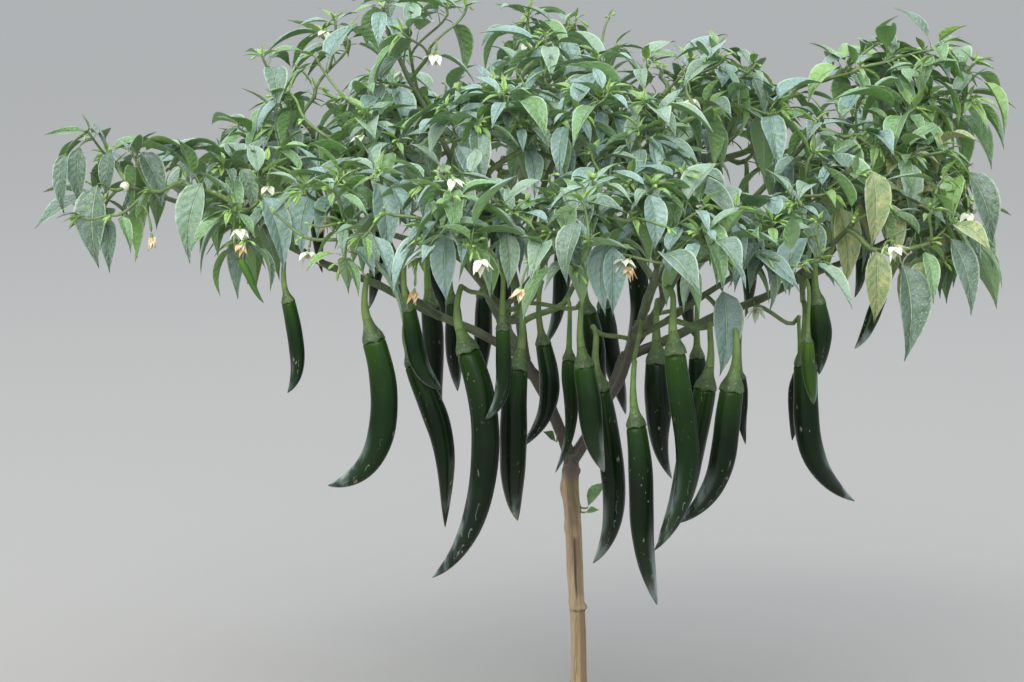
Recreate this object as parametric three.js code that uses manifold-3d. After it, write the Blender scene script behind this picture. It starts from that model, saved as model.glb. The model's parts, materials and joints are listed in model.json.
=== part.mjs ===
// A chilli pepper plant in full growth, in millimetres, with +Z up.
// A short woody stem forks low down into two leaders, and their boughs fan out into an umbrella of foliage.
// The origin is on the ground, in the middle of the flat cut under the stem.

import * as THREE from 'three';
import { mergeVertices } from 'three/addons/utils/BufferGeometryUtils.js';
import Module from 'manifold-3d';

const wasm = await Module();
wasm.setup();

// Driving dimensions of the whole plant
const FORK_HEIGHT = 153;
const GROWTH_GAP = 0.3;
const SLIVER = 0.02;
const UP = new THREE.Vector3(0, 0, 1);

// Woody stem
const SHAFT_LOW = { radius: 4.3, upTo: 45 };
const SHAFT_HIGH = { radius: 5.1, from: 85 };
const NECK = { radius: 3.5, from: 136, to: 148 };
const FLARE = { radius: 3.6, height: 21 };
const BUD_RINGS = [
  { height: 55, swell: 0.7, spread: 4 },
  { height: 131, swell: 0.9, spread: 6 },
  { height: 142, swell: 0.8, spread: 3 },
];
const RIBS = { count: 3, depth: 0.05, twistHeight: 60 };
const STEM_SIDES = 12;
const STEM_RINGS = 17;
// How far the stem's middle stands from the upright, along +X and +Y, at each height
const STEM_SWAY = [
  { height: 0, x: 0, y: 0 },
  { height: 39, x: 0.4, y: 0 },
  { height: 80, x: -1.8, y: 0.6 },
  { height: 111, x: -3, y: 1 },
  { height: 132, x: -4.7, y: 0.6 },
  { height: FORK_HEIGHT, x: -4.3, y: 0 },
];
// The stem is made this much too long below the ground and then cut flat
const CUT_DEPTH = 8;

// Masses of foliage: where each one's middle is, and its width (X), depth (Y) and height (Z)
const MASSES = [
  { name: 'far_left', at: [-267, -26, 317], size: [104, 112, 100] },
  { name: 'left', at: [-194, -78, 307], size: [98, 116, 88] },
  { name: 'left_front', at: [-136, -132, 305], size: [94, 118, 92] },
  { name: 'left_inner', at: [-128, -36, 340], size: [92, 108, 78] },
  { name: 'upper_left', at: [-178, 22, 366], size: [92, 108, 84] },
  { name: 'top_left', at: [-116, 38, 407], size: [124, 118, 92] },
  { name: 'front_left', at: [-78, -164, 305], size: [92, 114, 92] },
  { name: 'front_middle', at: [-14, -182, 302], size: [90, 114, 88] },
  { name: 'middle_left', at: [-62, -64, 354], size: [98, 120, 90] },
  { name: 'top_middle', at: [2, 8, 384], size: [108, 124, 86] },
  { name: 'front_right', at: [50, -158, 304], size: [94, 118, 92] },
  { name: 'right_front', at: [106, -122, 290], size: [92, 116, 92] },
  { name: 'middle_right', at: [26, -84, 350], size: [94, 112, 86] },
  { name: 'upper_right', at: [88, 4, 372], size: [104, 134, 88] },
  { name: 'right', at: [158, -82, 300], size: [90, 114, 90] },
  { name: 'right_inner', at: [142, -12, 350], size: [92, 108, 84] },
  { name: 'far_right', at: [216, -38, 300], size: [100, 112, 108] },
  { name: 'top_right', at: [212, 34, 374], size: [116, 120, 92] },
  { name: 'back_left', at: [-200, 92, 318], size: [112, 122, 92] },
  { name: 'back_inner_left', at: [-100, 136, 338], size: [112, 122, 100] },
  { name: 'back_middle', at: [-2, 172, 326], size: [112, 116, 102] },
  { name: 'top_back', at: [-12, 96, 396], size: [124, 104, 84] },
  { name: 'back_inner_right', at: [96, 132, 336], size: [112, 122, 100] },
  { name: 'back_right', at: [188, 96, 310], size: [112, 122, 96] },
];
const MASS_DETAIL = 2;
const MASS_UNEVENNESS = 0.15;
const MASS_LOBES = 3;
// How far the lobes along X, Y and Z shift from one mass to the next
const LOBE_SHIFTS = [2.1, 3.7, 1.3];

// Leaders and inner limbs, each grown from a share of its parent's length towards a point.
// root and tip are radii, and dip is how far the limb's middle hangs below the line between its ends.
const LIMBS = [
  { name: 'leader_left', from: 'stem', at: 0.97, to: [-35, -8, 214], root: 3.4, tip: 2.9, dip: -4 },
  { name: 'leader_right', from: 'stem', at: 0.97, to: [28, 6, 212], root: 3.5, tip: 3.0, dip: 5 },
  { name: 'limb_high_left', from: 'leader_left', at: 0.95, to: [-47, -22, 296], root: 2.9, tip: 2.3, dip: -10 },
  { name: 'limb_back_left', from: 'leader_left', at: 0.8, to: [-64, 62, 268], root: 2.8, tip: 2.2, dip: 6 },
  { name: 'limb_front_left', from: 'limb_high_left', at: 0.3, to: [-48, -92, 254], root: 2.3, tip: 1.9, dip: 5 },
  { name: 'limb_high_right', from: 'leader_right', at: 0.96, to: [74, -2, 288], root: 2.6, tip: 2.1, dip: 3 },
  { name: 'limb_front_right', from: 'leader_right', at: 0.62, to: [34, -66, 240], root: 2.6, tip: 2.1, dip: 8 },
  { name: 'limb_back_right', from: 'leader_right', at: 0.9, to: [52, 72, 262], root: 2.8, tip: 2.2, dip: 5 },
];

// Outer boughs, each one grown from a limb into the mass of foliage that it carries
const BOUGHS = [
  { carries: 'far_left', from: 'leader_left', at: 0.98, root: 2.5, dip: -5 },
  { carries: 'far_right', from: 'leader_right', at: 0.98, root: 2.8, dip: 0 },
  { carries: 'left', from: 'bough_far_left', at: 0.5, root: 1.8, dip: 3 },
  { carries: 'left_front', from: 'bough_far_left', at: 0.22, root: 1.9, dip: 6 },
  { carries: 'left_inner', from: 'bough_far_left', at: 0.3, root: 1.9, dip: 5 },
  { carries: 'upper_left', from: 'limb_back_left', at: 0.86, root: 2.0, dip: 8 },
  { carries: 'top_left', from: 'limb_high_left', at: 0.8, root: 2.1, dip: 6 },
  { carries: 'middle_left', from: 'limb_high_left', at: 0.92, root: 2.0, dip: 2 },
  { carries: 'top_middle', from: 'limb_high_left', at: 0.66, root: 2.0, dip: 8 },
  { carries: 'front_left', from: 'limb_front_left', at: 0.96, root: 1.8, dip: 3 },
  { carries: 'front_middle', from: 'limb_front_left', at: 0.9, root: 1.8, dip: 4 },
  { carries: 'front_right', from: 'limb_front_right', at: 0.94, root: 1.9, dip: 4 },
  { carries: 'right_front', from: 'limb_front_right', at: 0.86, root: 1.9, dip: 3 },
  { carries: 'middle_right', from: 'limb_high_right', at: 0.5, root: 1.9, dip: 4 },
  { carries: 'upper_right', from: 'limb_high_right', at: 0.94, root: 1.9, dip: 3 },
  { carries: 'right_inner', from: 'limb_high_right', at: 0.88, root: 1.9, dip: 5 },
  { carries: 'right', from: 'bough_far_right', at: 0.42, root: 1.9, dip: 4 },
  { carries: 'top_right', from: 'bough_far_right', at: 0.6, root: 2.0, dip: 7 },
  { carries: 'back_left', from: 'limb_back_left', at: 0.95, root: 1.9, dip: 5 },
  { carries: 'back_inner_left', from: 'limb_back_left', at: 0.98, root: 1.9, dip: 3 },
  { carries: 'top_back', from: 'limb_back_left', at: 0.7, root: 2.0, dip: 6 },
  { carries: 'back_middle', from: 'limb_back_right', at: 0.84, root: 2.0, dip: 4 },
  { carries: 'back_inner_right', from: 'limb_back_right', at: 0.97, root: 1.9, dip: 3 },
  { carries: 'back_right', from: 'limb_back_right', at: 0.92, root: 1.9, dip: 5 },
];
const BOUGH_END_RADIUS = 1.2;
const LIMB_SIDES = 8;
const BOUGH_SIDES = 6;
const RING_SPACING = 40;

// Finishes
const STEM_COLOUR = 0xb7a07a;
const LIMB_COLOUR = 0x7c8466;
const FOLIAGE_COLOURS = [0x5e7f5c, 0x6b8b61, 0x557656];

const smoothStep = THREE.MathUtils.smoothstep;
const vector = (numbers) => new THREE.Vector3(...numbers);

// Turns a closed geometry into a solid whose shared corners are merged.
function solidFrom(geometry) {
  const bare = geometry.clone();
  bare.deleteAttribute('normal');
  bare.deleteAttribute('uv');
  const merged = mergeVertices(bare, 1e-4);
  return new wasm.Manifold(new wasm.Mesh({
    numProp: 3,
    vertProperties: new Float32Array(merged.attributes.position.array),
    triVerts: new Uint32Array(merged.index.array),
  }));
}

// Turns a solid into a geometry, without the slivers that a cut can leave.
function geometryFrom(solid) {
  const mesh = solid.getMesh();
  const raw = new THREE.BufferGeometry();
  raw.setAttribute('position', new THREE.BufferAttribute(mesh.vertProperties, 3));
  raw.setIndex(new THREE.BufferAttribute(mesh.triVerts, 1));
  const geometry = mergeVertices(raw, SLIVER);
  const corners = geometry.index.array;
  const kept = [];
  for (let i = 0; i < corners.length; i += 3) {
    const [a, b, c] = corners.subarray(i, i + 3);
    if (a !== b && b !== c && c !== a) {
      kept.push(a, b, c);
    }
  }
  geometry.setIndex(kept);
  geometry.computeVertexNormals();
  return geometry;
}

// A round limb along a curve: a cylinder whose rings are moved onto the curve and sized by radiusAt.
function limbGeometry(curve, radiusAt, sides, rings) {
  const geometry = new THREE.CylinderGeometry(1, 1, 1, sides, rings);
  const frames = curve.computeFrenetFrames(rings, false);
  const places = curve.getSpacedPoints(rings);
  const corner = geometry.attributes.position;
  for (let i = 0; i < corner.count; i += 1) {
    const ring = Math.round((corner.getY(i) + 0.5) * rings);
    const angle = Math.atan2(corner.getZ(i), corner.getX(i));
    const reach = Math.hypot(corner.getX(i), corner.getZ(i)) * radiusAt(ring / rings, angle);
    const place = places[ring].clone();
    place.addScaledVector(frames.binormals[ring], reach * Math.cos(angle));
    place.addScaledVector(frames.normals[ring], reach * Math.sin(angle));
    corner.setXYZ(i, place.x, place.y, place.z);
  }
  return geometry;
}

// Of the pieces that a cut leaves, the one that lies nearest to a point.
function pieceNearest(solid, point) {
  const distance = (piece) => {
    const corners = piece.getMesh().vertProperties;
    let least = Infinity;
    for (let i = 0; i < corners.length; i += 3) {
      least = Math.min(least, point.distanceTo(new THREE.Vector3(...corners.subarray(i, i + 3))));
    }
    return least;
  };
  const pieces = solid.decompose();
  return pieces.reduce((best, piece) => (distance(piece) < distance(best) ? piece : best));
}

// Of the pieces that a cut leaves, the largest.
function largestPiece(solid) {
  return solid.decompose().reduce((best, piece) => (piece.volume() > best.volume() ? piece : best));
}

function cutBy(solid, cutters) {
  return cutters.reduce((left, cutter) => left.subtract(cutter), solid);
}

// The stem's middle line, from below the ground to the fork
function stemCurve() {
  const points = STEM_SWAY.map(({ height, x, y }) => new THREE.Vector3(x, y, height));
  points.unshift(new THREE.Vector3(0, 0, -CUT_DEPTH));
  return new THREE.CatmullRomCurve3(points);
}

// The stem's radius at a height: a flared foot, a slender shaft and swollen rings where leaves once grew
function stemRadius(height, angle) {
  const swelling = smoothStep(height, SHAFT_LOW.upTo, SHAFT_HIGH.from);
  const shaft = THREE.MathUtils.lerp(SHAFT_LOW.radius, SHAFT_HIGH.radius, swelling);
  const neck = (SHAFT_HIGH.radius - NECK.radius) * smoothStep(height, NECK.from, NECK.to);
  const flare = FLARE.radius * Math.exp(-Math.max(height, 0) / FLARE.height);
  const rings = BUD_RINGS.reduce(
    (sum, ring) => sum + ring.swell * Math.exp(-(((height - ring.height) / ring.spread) ** 2)),
    0,
  );
  const ribs = 1 + RIBS.depth * Math.cos(RIBS.count * angle + height / RIBS.twistHeight);
  return (shaft - neck + flare + rings) * ribs;
}

function stemSolid(extra) {
  const curve = stemCurve();
  const length = FORK_HEIGHT + CUT_DEPTH;
  const radiusAt = (share, angle) => stemRadius(share * length - CUT_DEPTH, angle) + extra;
  const whole = solidFrom(limbGeometry(curve, radiusAt, STEM_SIDES, STEM_RINGS));
  const belowGround = new THREE.BoxGeometry(10 * CUT_DEPTH, 10 * CUT_DEPTH, 4 * CUT_DEPTH);
  belowGround.translate(0, 0, -2 * CUT_DEPTH);
  return whole.subtract(solidFrom(belowGround));
}

// A limb's middle line, from inside its parent to its end
function limbCurve(limb, curves) {
  const start = curves.get(limb.from).getPointAt(limb.at);
  const end = vector(limb.to);
  const middle = start.clone().lerp(end, 0.5).addScaledVector(UP, -2 * limb.dip);
  return new THREE.QuadraticBezierCurve3(start, middle, end);
}

function limbSolid(limb, curve, extra) {
  const sides = limb.mass ? BOUGH_SIDES : LIMB_SIDES;
  const rings = Math.max(3, Math.round(curve.getLength() / RING_SPACING));
  const radiusAt = (share) => THREE.MathUtils.lerp(limb.root, limb.tip, share) + extra;
  return solidFrom(limbGeometry(curve, radiusAt, sides, rings));
}

// An uneven, closed blob whose lobes differ from one mass to the next
function massSolid(mass, extra) {
  const geometry = new THREE.IcosahedronGeometry(1, MASS_DETAIL);
  const corner = geometry.attributes.position;
  const way = new THREE.Vector3();
  const halves = vector(mass.size).multiplyScalar(0.5);
  for (let i = 0; i < corner.count; i += 1) {
    way.fromBufferAttribute(corner, i);
    const lobes = way.toArray().map(
      (share, axis) => Math.sin(MASS_LOBES * share + LOBE_SHIFTS[axis] * mass.index + axis),
    );
    const bulge = 1 + (MASS_UNEVENNESS * (lobes[0] + lobes[1] + lobes[2])) / 3;
    const place = way.clone().multiplyScalar(bulge).multiply(halves);
    place.addScaledVector(way, extra).add(vector(mass.at));
    corner.setXYZ(i, place.x, place.y, place.z);
  }
  return solidFrom(geometry);
}

function addPiece(plant, name, solid, colour, roughness) {
  const material = new THREE.MeshStandardMaterial({ color: colour, roughness, metalness: 0 });
  const piece = new THREE.Mesh(geometryFrom(solid), material);
  piece.name = name;
  plant.add(piece);
}

// The outer boughs in the same form as the inner limbs, each aimed at the middle of its mass
function boughsInto(masses) {
  return BOUGHS.map((bough) => {
    const mass = masses.get(bough.carries);
    return { ...bough, name: `bough_${bough.carries}`, mass, to: mass.at, tip: BOUGH_END_RADIUS };
  });
}

// Each limb is cut by the stem and by the limbs before it, and ends where it enters the mass that it carries.
function growLimbs(plant, limbs) {
  const curves = new Map([['stem', stemCurve()]]);
  const cutters = [stemSolid(GROWTH_GAP)];
  const sleeves = [];
  for (const limb of limbs) {
    const curve = limbCurve(limb, curves);
    const ownMass = limb.mass ? [massSolid(limb.mass, GROWTH_GAP)] : [];
    const grown = limbSolid(limb, curve, GROWTH_GAP);
    const cut = cutBy(limbSolid(limb, curve, 0), [...cutters, ...ownMass]);
    addPiece(plant, limb.name, pieceNearest(cut, curve.getPointAt(0.1)), LIMB_COLOUR, 0.75);
    sleeves.push({ mass: limb.mass, solid: cutBy(grown, ownMass) });
    cutters.push(grown);
    curves.set(limb.name, curve);
  }
  return sleeves;
}

// Each mass keeps clear of the masses before it and of the limbs that pass by.
function growMasses(plant, masses, sleeves) {
  const cutters = [];
  for (const mass of masses.values()) {
    const passing = sleeves.filter((sleeve) => sleeve.mass !== mass).map((sleeve) => sleeve.solid);
    const piece = largestPiece(cutBy(massSolid(mass, 0), [...cutters, ...passing]));
    const colour = FOLIAGE_COLOURS[mass.index % FOLIAGE_COLOURS.length];
    addPiece(plant, `foliage_${mass.name}`, piece, colour, 0.9);
    cutters.push(massSolid(mass, GROWTH_GAP));
  }
}

const plant = new THREE.Group();
plant.name = 'chilli_pepper_plant';
addPiece(plant, 'stem', stemSolid(0), STEM_COLOUR, 0.8);
const masses = new Map(MASSES.map((mass, index) => [mass.name, { ...mass, index }]));
const sleeves = growLimbs(plant, [...LIMBS, ...boughsInto(masses)]);
growMasses(plant, masses, sleeves);

export default plant;
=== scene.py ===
# %% [markdown]
# # A chilli pepper plant, grown leaf by leaf
# The plant is one woody stem that forks low down, boughs that fan out into an umbrella, and some three
# hundred shoots on them. This script lays the limbs where the frame has them, lets twigs grow from them into
# the masses of foliage by a seeded rule, and hangs leaves, flowers and pods on the twigs. Lengths in the
# tables are millimetres on the real plant, and are turned into metres where they are used.

# %% Load the frame
import json
import math
from collections import namedtuple
from functools import partial

import bmesh
import bpy
import numpy as np
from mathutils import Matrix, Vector

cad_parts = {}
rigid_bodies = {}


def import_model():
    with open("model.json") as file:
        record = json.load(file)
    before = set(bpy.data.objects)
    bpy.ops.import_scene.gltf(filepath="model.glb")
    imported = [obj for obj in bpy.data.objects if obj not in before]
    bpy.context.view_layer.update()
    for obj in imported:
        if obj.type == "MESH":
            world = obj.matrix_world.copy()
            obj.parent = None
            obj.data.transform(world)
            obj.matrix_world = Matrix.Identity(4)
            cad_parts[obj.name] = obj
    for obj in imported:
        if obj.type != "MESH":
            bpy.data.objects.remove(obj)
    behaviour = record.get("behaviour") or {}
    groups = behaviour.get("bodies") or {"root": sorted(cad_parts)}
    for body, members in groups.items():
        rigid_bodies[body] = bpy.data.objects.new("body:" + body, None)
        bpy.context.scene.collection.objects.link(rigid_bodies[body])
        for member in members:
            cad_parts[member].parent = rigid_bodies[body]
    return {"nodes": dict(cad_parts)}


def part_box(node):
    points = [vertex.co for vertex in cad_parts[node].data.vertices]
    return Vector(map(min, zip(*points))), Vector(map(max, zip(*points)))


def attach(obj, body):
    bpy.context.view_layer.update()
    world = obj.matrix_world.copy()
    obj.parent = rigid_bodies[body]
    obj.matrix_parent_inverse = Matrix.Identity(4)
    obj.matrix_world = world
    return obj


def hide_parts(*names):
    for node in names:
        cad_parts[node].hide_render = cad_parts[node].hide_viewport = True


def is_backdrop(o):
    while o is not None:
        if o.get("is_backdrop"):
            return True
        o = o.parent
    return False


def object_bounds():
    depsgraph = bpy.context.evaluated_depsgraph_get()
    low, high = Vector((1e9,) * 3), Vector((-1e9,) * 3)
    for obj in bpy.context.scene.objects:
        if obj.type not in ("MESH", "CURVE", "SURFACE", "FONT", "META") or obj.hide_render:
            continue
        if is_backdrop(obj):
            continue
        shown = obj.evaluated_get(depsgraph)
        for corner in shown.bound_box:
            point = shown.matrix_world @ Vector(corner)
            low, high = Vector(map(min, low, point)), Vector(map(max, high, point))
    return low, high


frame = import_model()
cad_low, cad_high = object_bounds()
MM = 0.001
TURN = 2 * math.pi
UP = np.array([0, 0, 1.0])
print("frame holds", len(frame["nodes"]), "nodes")

# %% [markdown]
# ## The camera
# The plant was seen from about its own height through a long lens, looking seven degrees down. A long lens
# flattens depth, so near and far leaves keep almost the same size. The camera comes first, because some
# shoots, pods, flowers and leaves are placed where the photograph shows them.

# %% Camera
VIEW_WIDTH = 1024
VIEW_HEIGHT = 682
FOCAL_PIXELS = 4000
SENSOR_WIDTH = 36
CAMERA_PITCH = math.radians(7)
CAMERA_PLACE = np.array([-40.3, -2400, 516]) * MM
FORWARD = np.array([0, math.cos(CAMERA_PITCH), -math.sin(CAMERA_PITCH)])
UPWARD = np.array([0, math.sin(CAMERA_PITCH), math.cos(CAMERA_PITCH)])


def add_object(name, data):
    made = bpy.data.objects.new(name, data)
    bpy.context.scene.collection.objects.link(made)
    return made


def seen_at(u, v, behind):
    """The point that the camera sees at a pixel, `behind` millimetres further back than the stem."""
    ray = FORWARD + UPWARD * (VIEW_HEIGHT / 2 - v) / FOCAL_PIXELS
    ray[0] = (u - VIEW_WIDTH / 2) / FOCAL_PIXELS
    return CAMERA_PLACE + ray * (behind * MM - CAMERA_PLACE[1]) / ray[1]


def pixels_of(points):
    """The pixels at which the camera sees points, as (..., 2)."""
    away = np.asarray(points) - CAMERA_PLACE
    scale = FOCAL_PIXELS / (away @ FORWARD)
    return np.stack([VIEW_WIDTH / 2 + away[..., 0] * scale, VIEW_HEIGHT / 2 - away @ UPWARD * scale], axis=-1)


camera_data = bpy.data.cameras.new("camera")
camera_data.sensor_width = SENSOR_WIDTH
camera_data.lens = FOCAL_PIXELS / VIEW_WIDTH * SENSOR_WIDTH
camera_data.clip_end = 200
camera = add_object("camera", camera_data)
camera.location = CAMERA_PLACE
camera.rotation_euler = (math.pi / 2 - CAMERA_PITCH, 0, 0)
bpy.context.scene.camera = camera
bpy.context.scene.view_settings.view_transform = "Standard"
print("the foot of the stem is seen at", pixels_of((0, 0, 0)).round())

# %% [markdown]
# ## Shader maths
# Patterns on leaf, pod and bark are worked out with numbers, so a small class wraps a node's socket and lets
# the maths be written as plain sums.

# %% A socket that does sums


class Wire:
    """One output socket. Sums and products of wires add the Math nodes that work them out."""

    def __init__(self, recipe, socket):
        self.recipe = recipe
        self.socket = socket

    def maths(self, operation, *others):
        return self.recipe.maths(operation, self, *others)

    def __add__(self, other):
        return self.maths("ADD", other)

    def __sub__(self, other):
        return self.maths("SUBTRACT", other)

    def __rsub__(self, other):
        return self.recipe.maths("SUBTRACT", other, self)

    def __mul__(self, other):
        return self.maths("MULTIPLY", other)

    __radd__ = __add__
    __rmul__ = __mul__

    def step(self, low, high):
        """0 below low, 1 above high, and smooth between; the other way round where low is above high."""
        if low > high:
            return 1 - self.step(high, low)
        ramp = {"Value": self, "From Min": low, "From Max": high}
        return self.recipe.node("ShaderNodeMapRange", {"interpolation_type": "SMOOTHSTEP"}, ramp)

    def near(self, middle, far, close):
        """1 closer to a value than `close`, and 0 further from it than `far`."""
        return (self - middle).maths("ABSOLUTE").step(far, close)


print("sockets can do sums")

# %% [markdown]
# A recipe holds the nodes of one material, or of the sky. Every other node comes from one method, which
# takes the node's type, its settings and what goes into its sockets. Coats of colour are laid over each
# other like paint, each with the share that it hides.

# %% A material recipe


class Recipe:
    """The nodes of a material or of the world, with the settings of its shader."""

    def __init__(self, owner, shader="Principled BSDF", **channels):
        owner.use_nodes = True
        self.owner = owner
        self.tree = owner.node_tree
        self.shader = self.tree.nodes[shader]
        self.paint(**channels)

    def node(self, kind, settings=None, sockets=None, output=0):
        made = self.tree.nodes.new(kind)
        for key, value in (settings or {}).items():
            setattr(made, key, value)
        for key, value in (sockets or {}).items():
            self.feed(made.inputs[key], value)
        return Wire(self, made.outputs[output])

    def feed(self, socket, value):
        if isinstance(value, Wire):
            self.tree.links.new(value.socket, socket)
        else:
            socket.default_value = (*value, 1) if socket.type == "RGBA" else value

    def paint(self, **channels):
        """Sets the shader's own sockets to values or wires."""
        for name, value in channels.items():
            self.feed(self.shader.inputs[name.replace("_", " ")], value)

    def maths(self, operation, *values):
        return self.node("ShaderNodeMath", {"operation": operation}, dict(enumerate(values)))

    def square(self):
        """The piece's own UV square."""
        return self.node("ShaderNodeUVMap", {"uv_map": "OFBake"})

    def axes(self, place):
        """The three numbers of a place."""
        split = self.node("ShaderNodeSeparateXYZ", None, {0: place})
        return [Wire(self, side) for side in split.socket.node.outputs]

    def height(self):
        return self.axes(self.node("ShaderNodeTexCoord", output="Object"))[2]

    def noise(self, scale, detail=2.0, stretch=(1, 1, 1), place=None):
        """Smooth noise from 0 to 1, on the piece's own coordinates unless another place is given."""
        place = place or self.node("ShaderNodeTexCoord", output="Object")
        spread = self.node("ShaderNodeMapping", None, {"Vector": place, "Scale": stretch})
        return self.node("ShaderNodeTexNoise", None, {"Vector": spread, "Scale": scale, "Detail": detail})

    def coats(self, colour, *coats):
        """A colour under coats, each a share and a colour."""
        for share, coat in coats:
            settings = {"data_type": "RGBA", "clamp_factor": True}
            colour = self.node("ShaderNodeMix", settings, {0: share, 6: colour, 7: coat}, output=2)
        return colour

    def bump(self, height, distance, strength):
        sockets = {"Height": height, "Distance": distance, "Strength": strength}
        self.paint(Normal=self.node("ShaderNodeBump", None, sockets))


def finish(name, **channels):
    return Recipe(bpy.data.materials.new(name), **channels)


def mottled_material(name, scale, first, second, roughness):
    """Two colours in soft patches."""
    recipe = finish(name, Roughness=roughness)
    recipe.paint(Base_Color=recipe.coats(first, (recipe.noise(scale).step(0.35, 0.65), second)))
    return recipe.owner


print("recipes can hold a material's nodes")


# %% [markdown]
# ## Floor and light
# A plain floor and large soft lamps stand in for an overcast field: light comes from all of the sky, and
# shadows are soft. The floor runs far back so that its edge isn't in view.

# %% Floor, lamps and sky
FLOOR_REACH = 80.0
FLOOR_COLOUR = (0.305, 0.286, 0.268)
CROWN_MIDDLE = (0, 0, 0.28)


def add_floor():
    bm = bmesh.new()
    bmesh.ops.create_grid(bm, x_segments=1, y_segments=1, size=FLOOR_REACH)
    mesh = bpy.data.meshes.new("floor")
    bm.to_mesh(mesh)
    bm.free()
    mesh.materials.append(finish("pale_floor", Base_Color=FLOOR_COLOUR, Roughness=0.9).owner)
    floor = add_object("floor", mesh)
    floor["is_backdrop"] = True


def add_lamp(name, place, size, power, colour):
    data = bpy.data.lights.new(name, "AREA")
    data.size = size
    data.energy = power
    data.color = colour
    lamp = add_object(name, data)
    lamp.location = place
    lamp.rotation_euler = (Vector(CROWN_MIDDLE) - Vector(place)).to_track_quat("-Z", "Y").to_euler()


def add_sky(horizon, zenith, colour):
    """A sky that is dim all round and bright overhead, as over an open field."""
    world = bpy.data.worlds.new("soft_sky")
    sky = Recipe(world, "Background", Color=colour)
    height = sky.axes(sky.node("ShaderNodeTexCoord", output="Generated"))[2]
    ramp = {"Value": height, "To Min": horizon, "To Max": zenith}
    sky.paint(Strength=sky.node("ShaderNodeMapRange", None, ramp))
    bpy.context.scene.world = world


add_floor()
add_lamp("key_lamp", (-1.0, -1.0, 2.2), 1.0, 18, (1.0, 0.99, 0.95))
add_lamp("fill_lamp", (-0.9, -4.4, 2.9), 4.5, 200, (1.0, 0.98, 0.93))
add_lamp("rim_lamp", (0.2, 1.5, 2.3), 2.0, 12, (0.80, 0.92, 1.0))
add_sky(0.80, 1.68, (0.87, 0.95, 1.02))
print("floor, sky and", len(bpy.data.lights), "lamps")

# %% [markdown]
# ## One template for everything that is long and round
# Stem, twig, leaf, petal and pod are all a closed tube that starts and ends in a point. A UV sphere has just
# those faces, so an operator makes it once for each fineness, and numbers bend it into shape.

# %% Tube template
Template = namedtuple("Template", "stations station angle ends sizes corners side around")


def tube_template(sides, stations):
    """A UV sphere read as a tube: the station and angle of each vertex, and for each face corner its vertex,
    the angle of its face's middle, and its own angle within half a turn of that."""
    bm = bmesh.new()
    bmesh.ops.create_uvsphere(bm, u_segments=sides, v_segments=stations, radius=1)
    bm.verts.ensure_lookup_table()
    places = np.array([v.co for v in bm.verts])
    faces = [[v.index for v in face.verts] for face in bm.faces]
    bm.free()
    station = np.rint(np.arccos(np.clip(-places[:, 2], -1, 1)) / math.pi * stations).astype(int)
    ends = (station == 0) | (station == stations)
    angle = np.arctan2(places[:, 1], places[:, 0]) % TURN
    middles = np.array([places[face].mean(axis=0) for face in faces])
    sizes = [len(face) for face in faces]
    corners = np.concatenate(faces)
    side = np.repeat(np.arctan2(middles[:, 1], middles[:, 0]) % TURN, sizes)
    around = np.where(ends[corners], side, angle[corners])
    around = around - TURN * np.rint((around - side) / TURN)
    return Template(stations, station, angle, ends, sizes, corners, side, around)


def wrap_uv(template, turned=0.0):
    """Round the tube along U, which may start a share of a turn further on, and up the tube along V."""
    u = template.around / TURN % 1.0001 + turned
    u = u - np.floor(template.side / TURN + turned)
    return np.stack([u, template.station[template.corners] / template.stations], axis=-1)


print("vertices in a tube of 8 sides and 10 stations:", len(tube_template(8, 10).station))

# %% [markdown]
# A tube needs two directions across its path at every station. They are carried along from the path's start,
# so that the tube doesn't twist.

# %% Rings laid along paths
NO_PATH_WAY = np.array([0.31, 0.17, 0.93])


def unit(vectors):
    return vectors / np.maximum(np.linalg.norm(vectors, axis=-1, keepdims=True), 1e-12)


def frames_along(paths):
    """For N paths (N, K, 3): tangents, and two directions across them that don't twist."""
    tangents = unit(np.gradient(paths, axis=1))
    across = [unit(np.cross(tangents[:, 0], NO_PATH_WAY))]
    for tangent in np.moveaxis(tangents, 1, 0)[1:]:
        carried = across[-1]
        across.append(unit(carried - tangent * (carried * tangent).sum(-1, keepdims=True)))
    across = np.stack(across, axis=1)
    return tangents, across, np.cross(tangents, across)


def round_paths(template, paths, reach, frames=None):
    """Vertices (N, V, 3) round N paths of stations + 1 points, each `reach` metres off its path."""
    _, across, over = frames or frames_along(paths)
    k, angle = template.station, template.angle
    return (paths[:, k] + across[:, k] * (reach * np.cos(angle))[..., None]
            + over[:, k] * (reach * np.sin(angle))[..., None])


print("rings can be laid along paths")

# %% [markdown]
# A heap gathers thousands of bent copies and writes them out as one mesh, which is far lighter than
# thousands of objects.

# %% Heap of copies


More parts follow.
